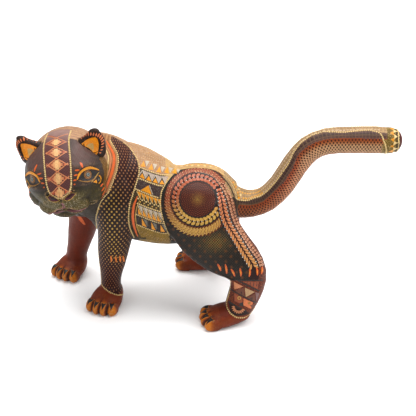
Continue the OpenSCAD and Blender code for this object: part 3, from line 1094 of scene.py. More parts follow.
def paint_shank(relief, chart):
    """The strokes at the knee, the patchwork below them and the beaded line above the paw."""
    knee = [((9.0, -52.5), (12.3, -59.3)), ((16.2, -52.8), (17.8, -61.8)), ((21.8, -57.4), (25.4, -64.4)),
            ((30.0, -56.5), (31.2, -64.4)), ((39.2, -56.8), (38.9, -64.8)), ((45.7, -56), (46.6, -63.6)),
            ((51.3, -55.3), (50.6, -62.6))]
    for a, b in knee:
        middle = ((a[0] + b[0]) / 2 + 0.3, (a[1] + b[1]) / 2)
        relief.stroke(chart, [a, middle, b], 1.9, "orange", lift=0.35, step=0.8)
        relief.stroke(chart, [mixed(a, b, 0.3), mixed(a, b, 0.75)], 0.7, "mustard", lift=0.5, step=0.8)
    for a, b in (((19, -68), (52, -68.6)), ((27.5, -68.2), (49, -79.3)), ((21, -77.6), (46.3, -91)),
                 ((20, -90), (37, -99.3))):
        relief.stroke(chart, [a, mixed(a, b, 0.5), b], 1.0, "black", lift=0.24, taper=False)
    relief.beads(chart, ANKLE, radius=0.85, pitch=2.0)
    for shape, ink in (
            ([(24.5, -70), (33.5, -74.5), (25.3, -77.8)], "peach"),
            ([(35, -75.5), (44.5, -80), (36, -85)], "tan"),
            ([(26, -79.3), (34, -75.6), (35, -84.6)], "brown"),
            ([(37, -86), (44.8, -81.5), (45, -89.2)], "brown"),
            ([(28.8, -80), (32.4, -79), (32.4, -82.5)], "black"),
            ([(39.5, -86), (42.5, -85), (42.5, -88)], "black"),
            ([(45, -80), (49, -81.5), (46.5, -89.5)], "mauve"),
            ([(33, -69.6), (48, -69.8), (47, -77)], "rust"),
            ([(25, -81.5), (33, -85.5), (33, -92.5), (25.5, -89)], "rust"),
            ([(34, -86), (43, -90.6), (41.5, -97), (34, -93.2)], "ember"),
            ([(40, -93), (45, -92.5), (42.5, -97)], "brown")):
        relief.fill(chart, shape, ink, lift=0.12)
    for k in range(4):
        relief.stroke(chart, [(37 + k * 3.2, -70), (36.4 + k * 3.2, -74.5)], 0.6, "bark", taper=False)
    relief.fill(chart, round_spot((30, -86), 1.7, 12), "gold", lift=0.2)
    relief.fill(chart, round_spot((30, -86), 1.0, 10), "rust", lift=0.3)
    relief.fill(chart, round_spot((39.5, -91), 1.4, 10), "ochre", lift=0.2)
    relief.fill(chart, [(30.5, -91), (33.5, -90), (34, -94.5), (30, -93.5)], "bark", lift=0.2)
    for k in range(9):
        a = math.radians(172 + k * 20)
        tip = (29.5, -95.5) + toward(a) * (6.6, 6.2)
        root = (29.5, -95.5) + toward(a) * (3.4, 3.0)
        relief.stroke(chart, [root, mixed(root, tip, 0.5), tip], 1.3, "peach", lift=0.25, step=0.7)


def paint_foreleg(relief, chart):
    """The beaded front edge of the shoulder, the mane's strokes and the four marks on the leg."""
    relief.beads(chart, FORE_FRONT)
    mane = np.array(FORE_FRONT[:5], float)
    relief.stroke(chart, mane - (3.6, 0), 2.2, "orange", lift=0.25)
    relief.stroke(chart, mane - (6.2, 0), 0.9, "peach", lift=0.2)
    relief.stroke(chart, mane - (8.4, 0), 0.7, "cream", lift=0.2)
    for u, w in ((-93.2, -49), (-88.8, -49.3), (-84.9, -49.4), (-81.9, -49.2)):
        relief.stroke(chart, [(u - 0.1, w + 3.2), (u, w), (u - 0.1, w - 3)], 1.7,
                      mixed("orange", "mustard", 0.45), lift=0.3, step=0.8)


def tail_edge(s):
    """Angle from the top of the tail down to its beaded line, in degrees, at length s."""
    return np.interp(s, [0, 14, 27, 58, 86, 98, 110, 120, 135, 150, 162, 171],
                     [50, 50, 38, 40, 45, 26, 13, 11, 28, 22, 18, 30])


def paint_tail(relief, chart):
    """The tail's beaded edges, the small cells between them and the ring at its tip."""
    for side in (1, -1):
        edge = [(s, tail_edge(s)) for s in range(4, 170, 8)]
        loop = [(171, 34), (174, 60), (176, 84), (178, 115), (179, 150), (179, 176)]
        relief.beads(chart, [(s, side * turn) for s, turn in edge + loop], radius=0.8, pitch=2.0)
        for k in range(52):
            s = 8 + k * 3.15
            reach = tail_edge(s)
            for share in ((0.34, 0.8) if reach > 30 else (0.6,)):
                mid, turn = s + (1.5 if share > 0.5 else 0), side * reach * share
                ink = mixed("mustard", "pale", 0.25) if s < 40 else mixed("tan", "pale", 0.55)
                cell = [(mid + x, turn + y) for x, y in ((-1, -3.4), (1, -3.4), (1, 3.4), (-1, 3.4))]
                relief.fill(chart, cell, ink, lift=0.1, cell=9)
    around = [(189, a) for a in range(-180, 181, 15)]
    relief.beads(chart, around, radius=0.7, pitch=1.8)
    for k in range(12):
        a = -180 + 30 * k
        relief.fill(chart, [(180.6, a), (184.4, a - 11), (184.4, a + 11)], "mustard", cell=30)
        relief.fill(chart, [(188, a + 15), (184.2, a + 4), (184.2, a + 26)], "cream", cell=30)


# ---------------------------------------------------------------- the painted face


def sided(shape, side):
    """A shape drawn for the first side, mirrored if side is -1."""
    return [(side * x, y) for x, y in shape]


def snapped(tree, knots):
    """Points of the head's frame brought onto the skin, with their normals, in the carving's frame."""
    hits = [tree.find_nearest(Vector(to_model(p))) for p in apply(IN_HEAD, knots)]
    return to_carving([hit[0] for hit in hits]), np.array([hit[1] for hit in hits])


def paint_eye(relief, points, normals, tree, side):
    """Almond eye with a raised mustard lid and a ringed iris with a painted glint, and the patch below it.
    """
    (mid, inner, outer), face_out = snapped(tree, mirrored_x([EYE_MID, EYE_IN, EYE_OUT], side))
    chart = plane_chart(points, normals, mid, (outer - inner) * side, face_out.mean(0), 24)
    almond = [(-10.5, -0.4), (-7, -3.3), (-1, -4.6), (5, -3.8), (10.3, -0.2), (6, 2.7), (0, 4.4), (-6.5, 3)]
    relief.fill(chart, sided(almond, side), "bark", lift=0.12)
    lens = [(-9.2, -0.3), (-6, -2.3), (-1, -3.6), (4.5, -2.8), (8.8, -0.2), (5.5, 2.2), (0, 3.7),
            (-5.5, 2.4)]
    relief.fill(chart, sided(lens, side), "black", lift=0.25)
    rings = ((3.8, "ochre"), (3.3, "brown"), (2.6, "tan"), (2.1, "bark"), (1.5, "steel"), (0.6, "black"))
    for k, (radius, ink) in enumerate(rings):
        relief.fill(chart, round_spot((0, 0.2), radius, 20), ink, lift=0.35 + 0.1 * k, cell=1)
    # a small white dot in the pupil: a painted glint
    relief.fill(chart, round_spot((side * -0.6, 0.9), 0.3, 8), "white", lift=1.0, cell=1)
    lid = [(-11.2, -1.6), (-8, 2.6), (-3, 5.4), (2, 5.9), (7, 4.4), (12, 1.6)]
    relief.stroke(chart, sided(lid, side), 2.1, "mustard", lift=0.7, step=0.8)
    rim = [(-10.5, -2.2), (-6, -4.6), (-0.5, -5.9), (5, -5.2), (10.5, -2)]
    relief.stroke(chart, sided(rim, side), 0.8, "ochre", lift=0.4, step=0.8)
    relief.fill(chart, sided([(3.4, -7.4), (8, -9.4), (7.4, -6.2)], side), "mustard", lift=0.3, cell=1)
    relief.fill(chart, round_spot((side * 10.2, -6.6), 2.3, 12), "black", lift=0.3, cell=1)
    relief.fill(chart, round_spot((side * 10.2, -6.6), 1.2, 10), "grey", lift=0.45, cell=1)
    for k in range(8):
        a = math.radians(-75 + 20 * k)
        spot = (side, 1) * ((10.2, -6.6) + 3.4 * toward(a))
        relief.fill(chart, round_spot(spot, 0.65, 8), "mustard", lift=0.3, cell=1)
    crease = [(1.6, -7), (6.5, -4.4), (11.8, -0.4)]
    relief.stroke(chart, sided(crease, side), 0.7, "gold", lift=0.3, step=0.8)


def paint_crown(relief, points, normals):
    """The beaded strip of stepped crosses from the nose over the crown."""
    local = apply(IN_HEAD.inverted(), points)
    crown = (np.linalg.norm(local, axis=1) < 60) & (np.abs(local[:, 0]) < 24) & (local[:, 1] < 30)
    crown &= (local[:, 2] > -6) & (np.arctan2(local[:, 2], -local[:, 1]) > -0.2)
    chart = Chart(points[crown], normals[crown], crown_chart(local[crown]))
    edge = [(11, 104), (11.2, 90), (11.8, 60), (11.6, 35), (10.8, 14), (8.4, 5), (4, 0.8), (0, 0)]
    for side in (1, -1):
        relief.beads(chart, [(side * x, t * CROWN_SCALE) for x, t in edge], radius=0.85, pitch=1.9)
    turns = [13, 29.5, 46.5, 65, 84]
    for t in turns:
        for lean in (1, -1):
            cross = [(x, (t + lean * x) * CROWN_SCALE) for x in (-9.8, 0, 9.8)]
            relief.stroke(chart, cross, 0.8, "peach", taper=False, lift=0.2)
            echo = [(-9.4, (t - lean * 11.8) * CROWN_SCALE), (-1, (t - lean * 2.8) * CROWN_SCALE)]
            relief.stroke(chart, echo, 0.5, "salmon", lift=0.2)
    for t in [5.5] + [(a + b) / 2 for a, b in zip(turns, turns[1:])]:
        y = t * CROWN_SCALE
        wide = 5.0 if t > 6 else 4.0
        for x0, x1, h in ((0, wide - 3.3, 4.0), (wide - 3.3, wide - 1.7, 2.6), (wide - 1.7, wide, 1.2)):
            ink = mixed("cream", "peach", 0.35 + 0.18 * x0)
            for side in (1, -1):
                step = sided([(x0, y - h), (x1, y - h), (x1, y + h), (x0, y + h)], side)
                relief.fill(chart, step, ink, lift=0.2)
        for side in (1, -1):
            dart = sided([(wide + 0.8, y - 1), (wide + 3, y), (wide + 0.8, y + 1)], side)
            relief.fill(chart, dart, "salmon", lift=0.2)
            relief.fill(chart, round_spot((side * 9.2, y), 0.55, 6), "mauve", lift=0.2)


def paint_nose(relief, points, normals, tree):
    """Nostrils and mouth, each side a mirror of the other."""
    middle, _ = snapped(tree, mirrored_x([(0, -48, -8)], 1))
    axes = np.array(IN_HEAD)[:3, :3]
    chart = plane_chart(points, normals, middle[0], axes[:, 0], -axes[:, 1], 34)
    seam = [(0.7, 3.6), (0.8, -1), (1.6, -5), (5, -6.8), (11, -8.7), (17.5, -9.4)]
    lip = [(1, -7.4), (5, -9.4), (11, -11.4), (16, -11.8)]
    for side in (1, -1):
        for length, width, ink, lift in ((12.2, 4.0, "gold", 0.14), (11.2, 3.2, "black", 0.22),
                                         (9.6, 2.3, "wine", 0.3), (6.4, 1.0, "black", 0.38)):
            nostril = sided(leaf((7.4, 7.1), 17, length, width), side)
            relief.fill(chart, nostril, ink, lift=lift, cell=1)
        relief.stroke(chart, sided(seam, side), 0.8, "lip", lift=0.2)
        relief.stroke(chart, sided(lip, side), 1.8, mixed("lip", "maroon", 0.5), lift=0.14)


def paint_face(relief, points, normals, tree):
    """Forehead strip, eyes, nostrils, mouth and the short strokes round them."""
    paint_crown(relief, points, normals)
    for side in (1, -1):
        paint_eye(relief, points, normals, tree, side)
    paint_nose(relief, points, normals, tree)
    spot, out, _, _ = tree.find_nearest(Vector(to_model(THROAT)))
    throat = plane_chart(points, normals, to_carving(spot), (1, 0, 0), out, 17)
    relief.stroke(throat, [(-5.6, 7.5), (-4.6, 2.2), (-2.6, -3), (0.4, -9)], 4, "orange", lift=0.3)
    for side in (1, -1):
        for a, b, width in FACE_STROKES:
            ends, outs = snapped(tree, mirrored_x([a, b], side))
            chart = plane_chart(points, normals, ends.mean(0), ends[1] - ends[0], outs.mean(0), 9)
            half = np.linalg.norm(ends[1] - ends[0]) / 2
            relief.stroke(chart, [(-half, 0), (0, 0.2), (half, 0)], width, "orange", lift=0.3, step=0.7)


def paint_ear(relief, ear, side):
    """Radial strokes round the ear's rim and a bright hollow, lifted with painted light and a painted
    highlight at its foot.
    """
    points, normals = points_of(ear), normals_of(ear)
    seat = at_ear(side)
    local = apply(seat.inverted(), points)
    facing = np.array(seat)[:3, :3]
    front = (local[:, 2] > 0.2) & (normals @ -facing[:, 1] > 0.1)
    flat = np.stack([local[:, 0] * SIGN[side], local[:, 2]], 1)
    chart = Chart(points[front], normals[front], flat[front])
    back = (local[:, 2] > 0.2) & (normals @ facing[:, 1] > 0.1)
    rear = Chart(points[back], normals[back], flat[back])
    for page, reach in ((chart, 0), (rear, 1)):
        for k in range(15):
            a = math.radians(12 + k * 11.2)
            rim = np.array((-2.4 + 12 * math.cos(a), 1 + 18 * math.sin(a)))
            root = np.array((-2 + (9.8 - reach * 3) * math.cos(a), 1 + (15 - reach * 4) * math.sin(a)))
            relief.stroke(page, [root, mixed(root, rim, 0.5), rim], 1.3, "ember", lift=0.22, step=0.7)
    hollow = [(-9.6, 1.4), (7, 1.4), (6.4, 4.5), (3.4, 9.5), (-0.8, 13.6), (-3.4, 14.4), (-6, 11), (-8.6, 6)]
    # the hollow's sun mustard is brighter than real paint: painted light that lifts the hollow out of its
    # shade
    relief.fill(chart, hollow, "sun", lift=0.14)
    # glow is a pale patch at the foot of the hollow: a painted highlight
    glow = [(-5, 1.8), (3, 1.8), (1.4, 4.6), (-1.6, 7), (-4, 4.6)]
    relief.fill(chart, glow, mixed("mustard", "white", 0.5), lift=0.22)


def paint_claws(relief, piece, name):
    """A dark pointed claw with a pale edge on each toe."""
    to_paw = at_paw(name)
    points, normals = points_of(piece), normals_of(piece)
    axes = np.array(to_paw)[:3, :3]
    for toe in (-1.5, -0.5, 0.5, 1.5):
        tip = apply(to_paw, [(toe * 7.9, -30.5 + abs(toe) * 2.4, 11.5)])[0]
        fan = 0.75 if name.startswith("hind") else 0.4
        out = -axes[:, 1] * 0.75 + axes[:, 2] * 0.6 + axes[:, 0] * toe * fan
        chart = plane_chart(points, normals, tip, axes[:, 0], out, 10)
        relief.fill(chart, [(-3, 3.4), (0, 2.4), (3, 3.4), (1.3, -1), (0.3, -5), (-0.3, -5), (-1.3, -1)],
                    "amber", lift=0.2, cell=1)
        relief.fill(chart, [(-2.6, 3.2), (0, 2.2), (2.6, 3.2), (0.9, -1), (0, -4.4), (-0.9, -1)],
                    "black", lift=0.4, cell=1)


# ---------------------------------------------------------------- ground colours and fine patterns


# pitch of the fine patterns in mm, and how many seeds lie round the medallion's disc
FINE, SEEDS_AROUND = 3.1, 22
CHEST_TONE = mixed("moss", "charcoal", 0.6)
LEG_TONE = mixed("redbrown", "brown", 0.25)
PAW_TONE = mixed(LEG_TONE, "rust", 0.3)


def part_of(value, where, single=0):
    """A value's rows for the points where, or the value itself if it is the same for all."""
    value = np.asarray(value, float)
    return value if value.ndim == single else value[where]


class Coat:
    """Colours and pattern weights for every point of a skin."""

    def __init__(self, count):
        self.ground = np.tile(linear("charcoal"), (count, 1))
        self.accent = np.tile(linear("tan"), (count, 1))
        self.chart = np.zeros((count, 3))
        self.weights = np.zeros((count, 4))

    def put(self, where, colour, accent=None, dots=0.0, mesh=0.0, speckle=0.0, page=None, size=0.23):
        """Paints the points where, with the pattern's page in its own pitches and its dots of that size."""
        self.ground[where] = linear(part_of(colour_of(colour), where, 1))
        if accent is not None:
            self.accent[where] = linear(part_of(colour_of(accent), where, 1))
        for k, value in enumerate((dots, mesh, speckle)):
            self.weights[where, k] = part_of(value, where)
        if page is not None:
            self.chart[where, 0] = page[0][where]
            self.chart[where, 1] = page[1][where]
        self.chart[where, 2] = part_of(size, where)


def across_line(w, line):
    """The u of a line at each w."""
    line = np.array(line, float)
    order = np.argsort(line[:, 1])
    return np.interp(w, line[order, 1], line[order, 0])


class Place:
    """Where each point of a skin lies on the figure, in the near side's terms."""

    def __init__(self, points, normals):
        self.points, self.z = points, points[:, 2]
        self.twin, far = near_twin(points)
        self.u, self.w = side_chart(self.twin).T
        self.fine = ((self.u + self.w) / FINE, (self.u - self.w) / FINE)
        self.front = across_line(self.w, FORE_FRONT)
        self.rear = np.where(self.w > -28, across_line(self.w, FORE_REAR), -66)
        self.foreleg = (self.u > self.front) & (self.u < self.rear)
        self.haunch = self.u > across_line(np.clip(self.w, -26, 31), HAUNCH_EDGE)
        self.inside = ramp(normals[:, 1] * np.where(far, 1, -1), -0.45, -0.05) < 0.5


def paint_flank_ground(coat, at):
    """The belly, and over it the flank's bands up to the spine."""
    u, w, fine = at.u, at.w, at.fine
    tones = {"F": (60, 50, 46), "E": (84, 70, 62), "D": (74, 60, 32), "C": (74, 56, 54), "B": (84, 70, 62)}
    coat.put(np.full(len(w), True), mixed("olive", "ochre", 0.35),
             "gold", dots=0.35, speckle=0.5, page=fine, size=0.2)
    for name, tone in tones.items():
        coat.put(w > BAND_LOW[name] + band_rise(u), tone, "pale", speckle=0.15, page=fine)
    coat.put(w > BAND_LOW["A"] + band_rise(u), mixed("tan", "brown", 0.22), "pale", mesh=0.35, speckle=0.35,
             page=(u / 2.2, w / 2.2))
    coat.put((u < at.rear + 6.5) & (w < 10) & (w > -30), "moss", "gold", speckle=0.3)


def paint_shoulder_ground(coat, at):
    """The dotted foreleg and shoulder, the chest and the striped mane."""
    u, w, height = at.u, at.w, at.twin[:, 2]
    middle = on_path(FORE_NEAR, height)
    bend = 17 + 43 * ramp(height, 80, 112)
    depth = np.maximum(middle[:, 1] - 17 + bend - at.twin[:, 1], 1)
    around = bend * np.arctan2(at.twin[:, 0] - middle[:, 0], depth)
    rows = height / 6
    page = (around / 4.6, rows + ramp(height, 80, 115) * (w / 5.1 + 20.2 - rows))
    glow = np.exp(-((u + 90) / 11) ** 2) * ramp(w, -66, -40) * (1 - ramp(w, 8, 30))
    shade = mixed("maroon", "black", np.exp(-((w + 8) / 38) ** 2) * 0.75)
    dot = mixed(mixed("salmon", "tan", 0.65), "gold", glow) * (0.86 + 0.1 * glow)[:, None]
    coat.put(at.foreleg, shade, dot, dots=1.0, speckle=0.06, page=page,
             size=0.152 + 0.03 * glow + 0.02 * ramp(w, 0, 30))
    chest = u <= at.front
    coat.put(chest, CHEST_TONE, "grey", speckle=0.25, page=at.fine)
    stripes = 0.5 + 0.5 * np.sin((at.front - u) * 2.1)
    coat.put(chest & (w > 14) & (at.z > 100), mixed("brown", "tan", 0.25 + 0.6 * stripes), "gold",
             speckle=0.25, page=at.fine)


def paint_haunch_ground(coat, at):
    """The thigh's net, the medallion's rings, the strips beside it, the hip and the shank."""
    u, w, haunch, fine = at.u, at.w, at.haunch, at.fine
    reach = np.hypot(u - MEDAL[0], w - MEDAL[1])
    turn = np.arctan2(w - MEDAL[1], u - MEDAL[0])
    left, mid = across_line(w, STRIP_LEFT), across_line(w, STRIP_MID)
    right = np.where(w > 30, 60, across_line(w, STRIP_RIGHT[3:]))
    coat.put(haunch & (w < 47), (30, 31, 26), "olive", speckle=0.15, page=fine)
    thigh = haunch & (w < 8)
    lit = np.exp(-((u - 6) / 15) ** 2 - ((w + 32) / 10) ** 2)
    p, q = (u + w) / 2.4, (u - 0.9 * w) / 2.4
    block = (np.abs((p / 4) % 1 - 0.5) < 0.17) & (np.abs((q / 4) % 1 - 0.5) < 0.17)
    coat.put(thigh, mixed("bark", "black", 0.4 + 0.5 * lit), mixed("grey", "gold", lit * 0.8),
             mesh=0.16 + 0.74 * lit, dots=0.12, speckle=0.08, page=(p, q), size=0.14)
    coat.put(thigh & block, mixed("brown", "grey", 0.15) * 0.75, "gold", mesh=0.1 + 0.3 * lit, page=(p, q))
    feather = haunch & (reach < LEAF_R + 3.5 * np.clip(-np.sin(turn), 0, 1))
    coat.put(feather, mixed("maroon", "rust", 0.3), "peach", speckle=0.3, page=fine)
    coat.put(haunch & (reach < BRAID_R), mixed("maroon", "black", 0.45), "peach", page=fine)
    seed = np.clip(1 - reach / 9, 0, 1)
    coat.put(haunch & (reach < DISC_R), mixed("maroon", "brown", 0.15),
             mixed(mixed("rust", "mauve", 0.4), "gold", seed), dots=0.5 + 0.4 * seed,
             page=(reach / 1.9, turn * SEEDS_AROUND / (2 * math.pi)), size=0.24)
    coat.put(haunch & (u > left) & (u < mid) & (w < 26), mixed("maroon", "bark", 0.4), "peach", page=fine)
    rim = haunch & (u >= mid) & (u < right + 4) & (reach > BRAID_R) & (w < 41)
    coat.put(rim, mixed("maroon", "rust", 0.35), "peach", speckle=0.3, page=fine)
    hip = (u > -40) & (w > 41.5 - 0.02 * np.clip(u + 9, -60, 60) ** 2) & (reach > LEAF_R + 2)
    hip |= haunch & (u > right + 1.5) & (w > 0)
    coat.put(hip, mixed("tan", "gold", 0.4), "pale", mesh=0.35, speckle=0.4, page=(u / 2.2, w / 2.2))
    shank = haunch & (w < -68) & (u > 14)
    coat.put(shank, mixed("rust", "maroon", 0.6), "ember", speckle=0.35, page=fine)
    coat.put(shank & (w < -91 - (u - 22) * 0.58), "bark", "rust", speckle=0.15, page=fine)
    heel_line = np.interp(u, [0, 19, 22, 31, 40, 47, 60], [-66, -88, -101.5, -106, -103, -94, -88])
    coat.put(haunch & (w < heel_line), LEG_TONE, "rust", speckle=0.25, page=fine)


def paint_leg_ground(coat, at):
    """The plain insides of the legs, and the paws with their yellow toes."""
    z, fine = at.z, at.fine
    coat.put(at.foreleg & (z >= 88) & (z < 125) & at.inside, CHEST_TONE, "grey", speckle=0.25, page=fine)
    leg = ((z < 88) & (at.twin[:, 0] < -60)) | ((z < 74) & (at.twin[:, 0] > 2)) | (z < 60)
    coat.put(leg & at.inside, LEG_TONE, "rust", speckle=0.25, page=fine)
    for name in PAWS:
        local = apply(at_paw(name).inverted(), at.points)
        near = (np.abs(local[:, 0]) < 24) & (np.abs(local[:, 1]) < 46) & (z < 32)
        below = near & (z < 14)
        if name.startswith("fore"):
            below |= near & ((at.w < -86.5) | (at.u < at.front))
        coat.put(below, PAW_TONE, "rust", speckle=0.25, page=fine)
        toes = near & (z < 25 + 0.35 * local[:, 1]) & (local[:, 1] < -17)
        cleft = np.abs((local[:, 0] / 7.6 + 0.5) % 1 - 0.5)
        cleft = np.where(np.abs(local[:, 0]) > 11.4, 0.5, cleft)
        gold = ramp(-local[:, 1], 19, 28)
        share = gold * ramp(cleft, 0.05, 0.3) * 0.95
        shadow = 1 - 0.5 * gold * (1 - ramp(cleft, 0.0, 0.2))
        tone = mixed(PAW_TONE, mixed("redbrown", "amber", share), share) * shadow[:, None]
        coat.put(toes, tone, "gold", speckle=0.1, page=fine)


def paint_head_ground(coat, points):
    """Forehead with its painted highlight, muzzle, cheeks, the strip over the crown, nape and chin."""
    local = apply(IN_HEAD.inverted(), points)
    x, y, z = local.T
    head = apply(AT_NECK.inverted(), points)[:, 2] > 0
    fine = (x / 2.6 + z / 2.6, x / 2.6 - z / 2.6)
    # brow lightens the charcoal toward mauve on the upper forehead to each side of the strip: a painted
    # highlight where light falls on the forehead
    brow = ramp(z, 10, 26) * ramp(np.abs(x - FACE_X), 6, 16)
    coat.put(head, mixed("charcoal", "mauve", 0.08 + 0.5 * brow), "grey", mesh=0.25, speckle=0.12, page=fine)
    muzzle = (1 - ramp(z + 0.25 * np.abs(x - FACE_X), 0, 10)) * ramp(-y, 12, 30)
    cream = (1 - ramp(np.abs(z + 8), 5, 12)) * ramp(-y, 34, 43)
    tone = mixed(mixed("charcoal", "olive", muzzle * 0.6), mixed("moss", "olive", cream), 0.5)
    coat.put(head & (muzzle > 0.02), tone, mixed("olive", "pale", cream * 0.75), mesh=0,
             speckle=0.2 + 0.55 * muzzle, page=fine)
    jaw = np.interp(z, [-34, -14, 0, 14], [-22, -21, -15, -11])
    cheek = head & (y > jaw) & (z < 14) & (np.abs(x) > 20)
    hatch = 0.5 + 0.5 * np.sin(y * 2.6)
    coat.put(cheek, mixed("ochre", "bark", 0.15 + 0.5 * hatch), "cream", speckle=0.2, page=fine)
    turn = np.degrees(np.arctan2(z, -y))
    off = crown_chart(local)[:, 0]
    half = np.interp(turn, [0, 1.5, 5, 14, 35, 60, 90], [0, 5, 8.4, 10.8, 11.6, 11.8, 11.2])
    strip = head & (np.abs(off) < half) & (turn > 0.8) & (turn < 108) & (z > -3)
    crown = ramp(turn, 62, 100)
    coat.put(strip, mixed(mixed("maroon", "mauve", 0.52), mixed("mauve", "pale", 0.3), crown), "mauve",
             dots=0.3, page=(off / 2.4, turn / 3.6), size=0.2)
    nape = head & ((turn >= 83) | ((y > 13) & (z > 6))) & ~strip
    stripes = 0.5 + 0.5 * np.sin(turn * 0.9)
    coat.put(nape, mixed("mauve", "tan", 0.35 + 0.5 * stripes), "cream", speckle=0.3, page=fine)
    under = head & (z < -26) & (y < -8)
    coat.put(under, mixed("charcoal", "moss", 0.5), "olive", speckle=0.3, page=fine)


def paint_tail_ground(coat, points):
    """The tail's pale top, plum band, dotted sides, banded tip and painted shade at its root."""
    spot = apply(AT_TAIL.inverted(), points)
    tail = (spot[:, 2] > -5) & (np.abs(spot[:, 1]) < TAIL_HALF) & (spot[:, 0] > -110) & (spot[:, 0] < 24)
    if not tail.any():
        return
    s, turn = np.zeros(len(points)), np.zeros(len(points))
    s[tail], turn[tail] = tail_chart(points[tail]).T
    side = np.abs(turn)
    edge = tail_edge(s)
    low = np.interp(s, [20, 55, 71, 85, 99, 118, 135, 166], [66, 64, 74, 72, 52, 52, 56, 58])
    page = (s / 3.1, side * 0.2 / 4.2)
    warm = ramp(s, 12, 70) * (1 - ramp(s, 80, 125))
    lower = ramp(side, low + 2, low + 34)
    warm_side = mixed("salmon", "rust", 0.25 + 0.6 * (1 - warm)) * 0.95
    light_side = mixed(mixed("sand", "peach", 0.2 + 0.6 * warm), (255, 255, 255), 0.15)
    under = mixed(warm_side, light_side, lower * (0.35 + 0.65 * ramp(s, 30, 100)))
    coat.put(tail, under, "bark", dots=0.95, speckle=0.15, page=page, size=0.25)
    pale = tail & (side > 128)
    coat.put(pale, mixed("tan", "salmon", 0.3), "bark", dots=0.9, page=page, size=0.24)
    fade = np.clip((side - edge) / np.maximum(low - edge, 1), 0, 1)
    plum = 0.12 + 0.3 * np.abs(2 * fade - 1) * ramp(s, 20, 90)
    coat.put(tail & (side < low), mixed("bark", "mauve", 0.15 + plum * 1.3), "tan", mesh=0.25, speckle=0.12,
             page=page)
    coat.put(tail & (side < edge), mixed("tan", "charcoal", 0.3), "cream", mesh=0.4, speckle=0.3,
             page=(s / 3.0, side * 0.2 / 2.4))
    # a dark band on the lower sides of the tail's root: painted shade where the tail meets the haunch
    coat.put(tail & (s < 8) & (side > 60), mixed("charcoal", "olive", 0.3), "gold", speckle=0.4,
             page=page)
    coat.put(tail & (s > 174) & ((side > 60) | (s > 178)), mixed("olive", "ochre", 0.3), "cream",
             speckle=0.5, page=page)
    coat.put(tail & (s > 186), "moss", "gold", speckle=0.3, page=page)
    coat.put(tail & (s > 190.5), (96, 22, 24), "rust", speckle=0.15, page=page)


def paint_ear_ground(coat, points, side):
    """One dark, speckled ground for the whole ear."""
    local = apply(at_ear(side).inverted(), points)
    coat.put(np.full(len(points), True), mixed("bark", "charcoal", 0.5), "rust", speckle=0.2,
             page=(local[:, 0] / 3, local[:, 2] / 3))


# a face further than this from the uncut form was cut, in mm
CUT_DEPTH = 0.06


def bulge_of(points, normals, edges):
    """How far each point stands out from its smoothed surroundings, in mm."""
    smooth = relax(points, edges, 6, np.ones(len(points)), 0.5, 0.5)
    return ((points - smooth) * normals).sum(1)


def coat_piece(piece, name, form_tree, form_bulge):
    """Stores the piece's paint on its points and marks its cut faces as bare wood."""
    points, normals = points_of(piece), normals_of(piece)
    faces = piece.data.polygons
    coat = Coat(len(points))
    if name.startswith("ear"):
        side = name[4:]
        paint_ear_ground(coat, points, side)
        bulge = bulge_of(points, normals, edges_of(piece))
        height = apply(at_ear(side).inverted(), to_carving([face.center for face in faces]))[:, 2]
        bare = height < 0.02
    else:
        at = Place(points, normals)
        paint_flank_ground(coat, at)
        paint_shoulder_ground(coat, at)
        paint_haunch_ground(coat, at)
        paint_leg_ground(coat, at)
        paint_head_ground(coat, points)
        paint_tail_ground(coat, points)
        skin_tree, skin_bulge = form_bulge
        bulge = skin_bulge[[skin_tree.find(p)[1] for p in points]]
        bare = np.array([form_tree.find_nearest(face.center)[3] for face in faces]) > CUT_DEPTH * MM
    # the fourth weight is how far each point stands out; the material uses it for worn high spots and for
    # painted shade in hollows
    coat.weights[:, 3] = np.clip(0.5 + bulge * 0.9, 0, 1)
    store(piece.data, "ground", coat.ground)
    store(piece.data, "accent", coat.accent)
    store(piece.data, "weights", coat.weights)
    store(piece.data, "chart", coat.chart)
    faces.foreach_set("material_index", bare.astype(int))


# ---------------------------------------------------------------- materials


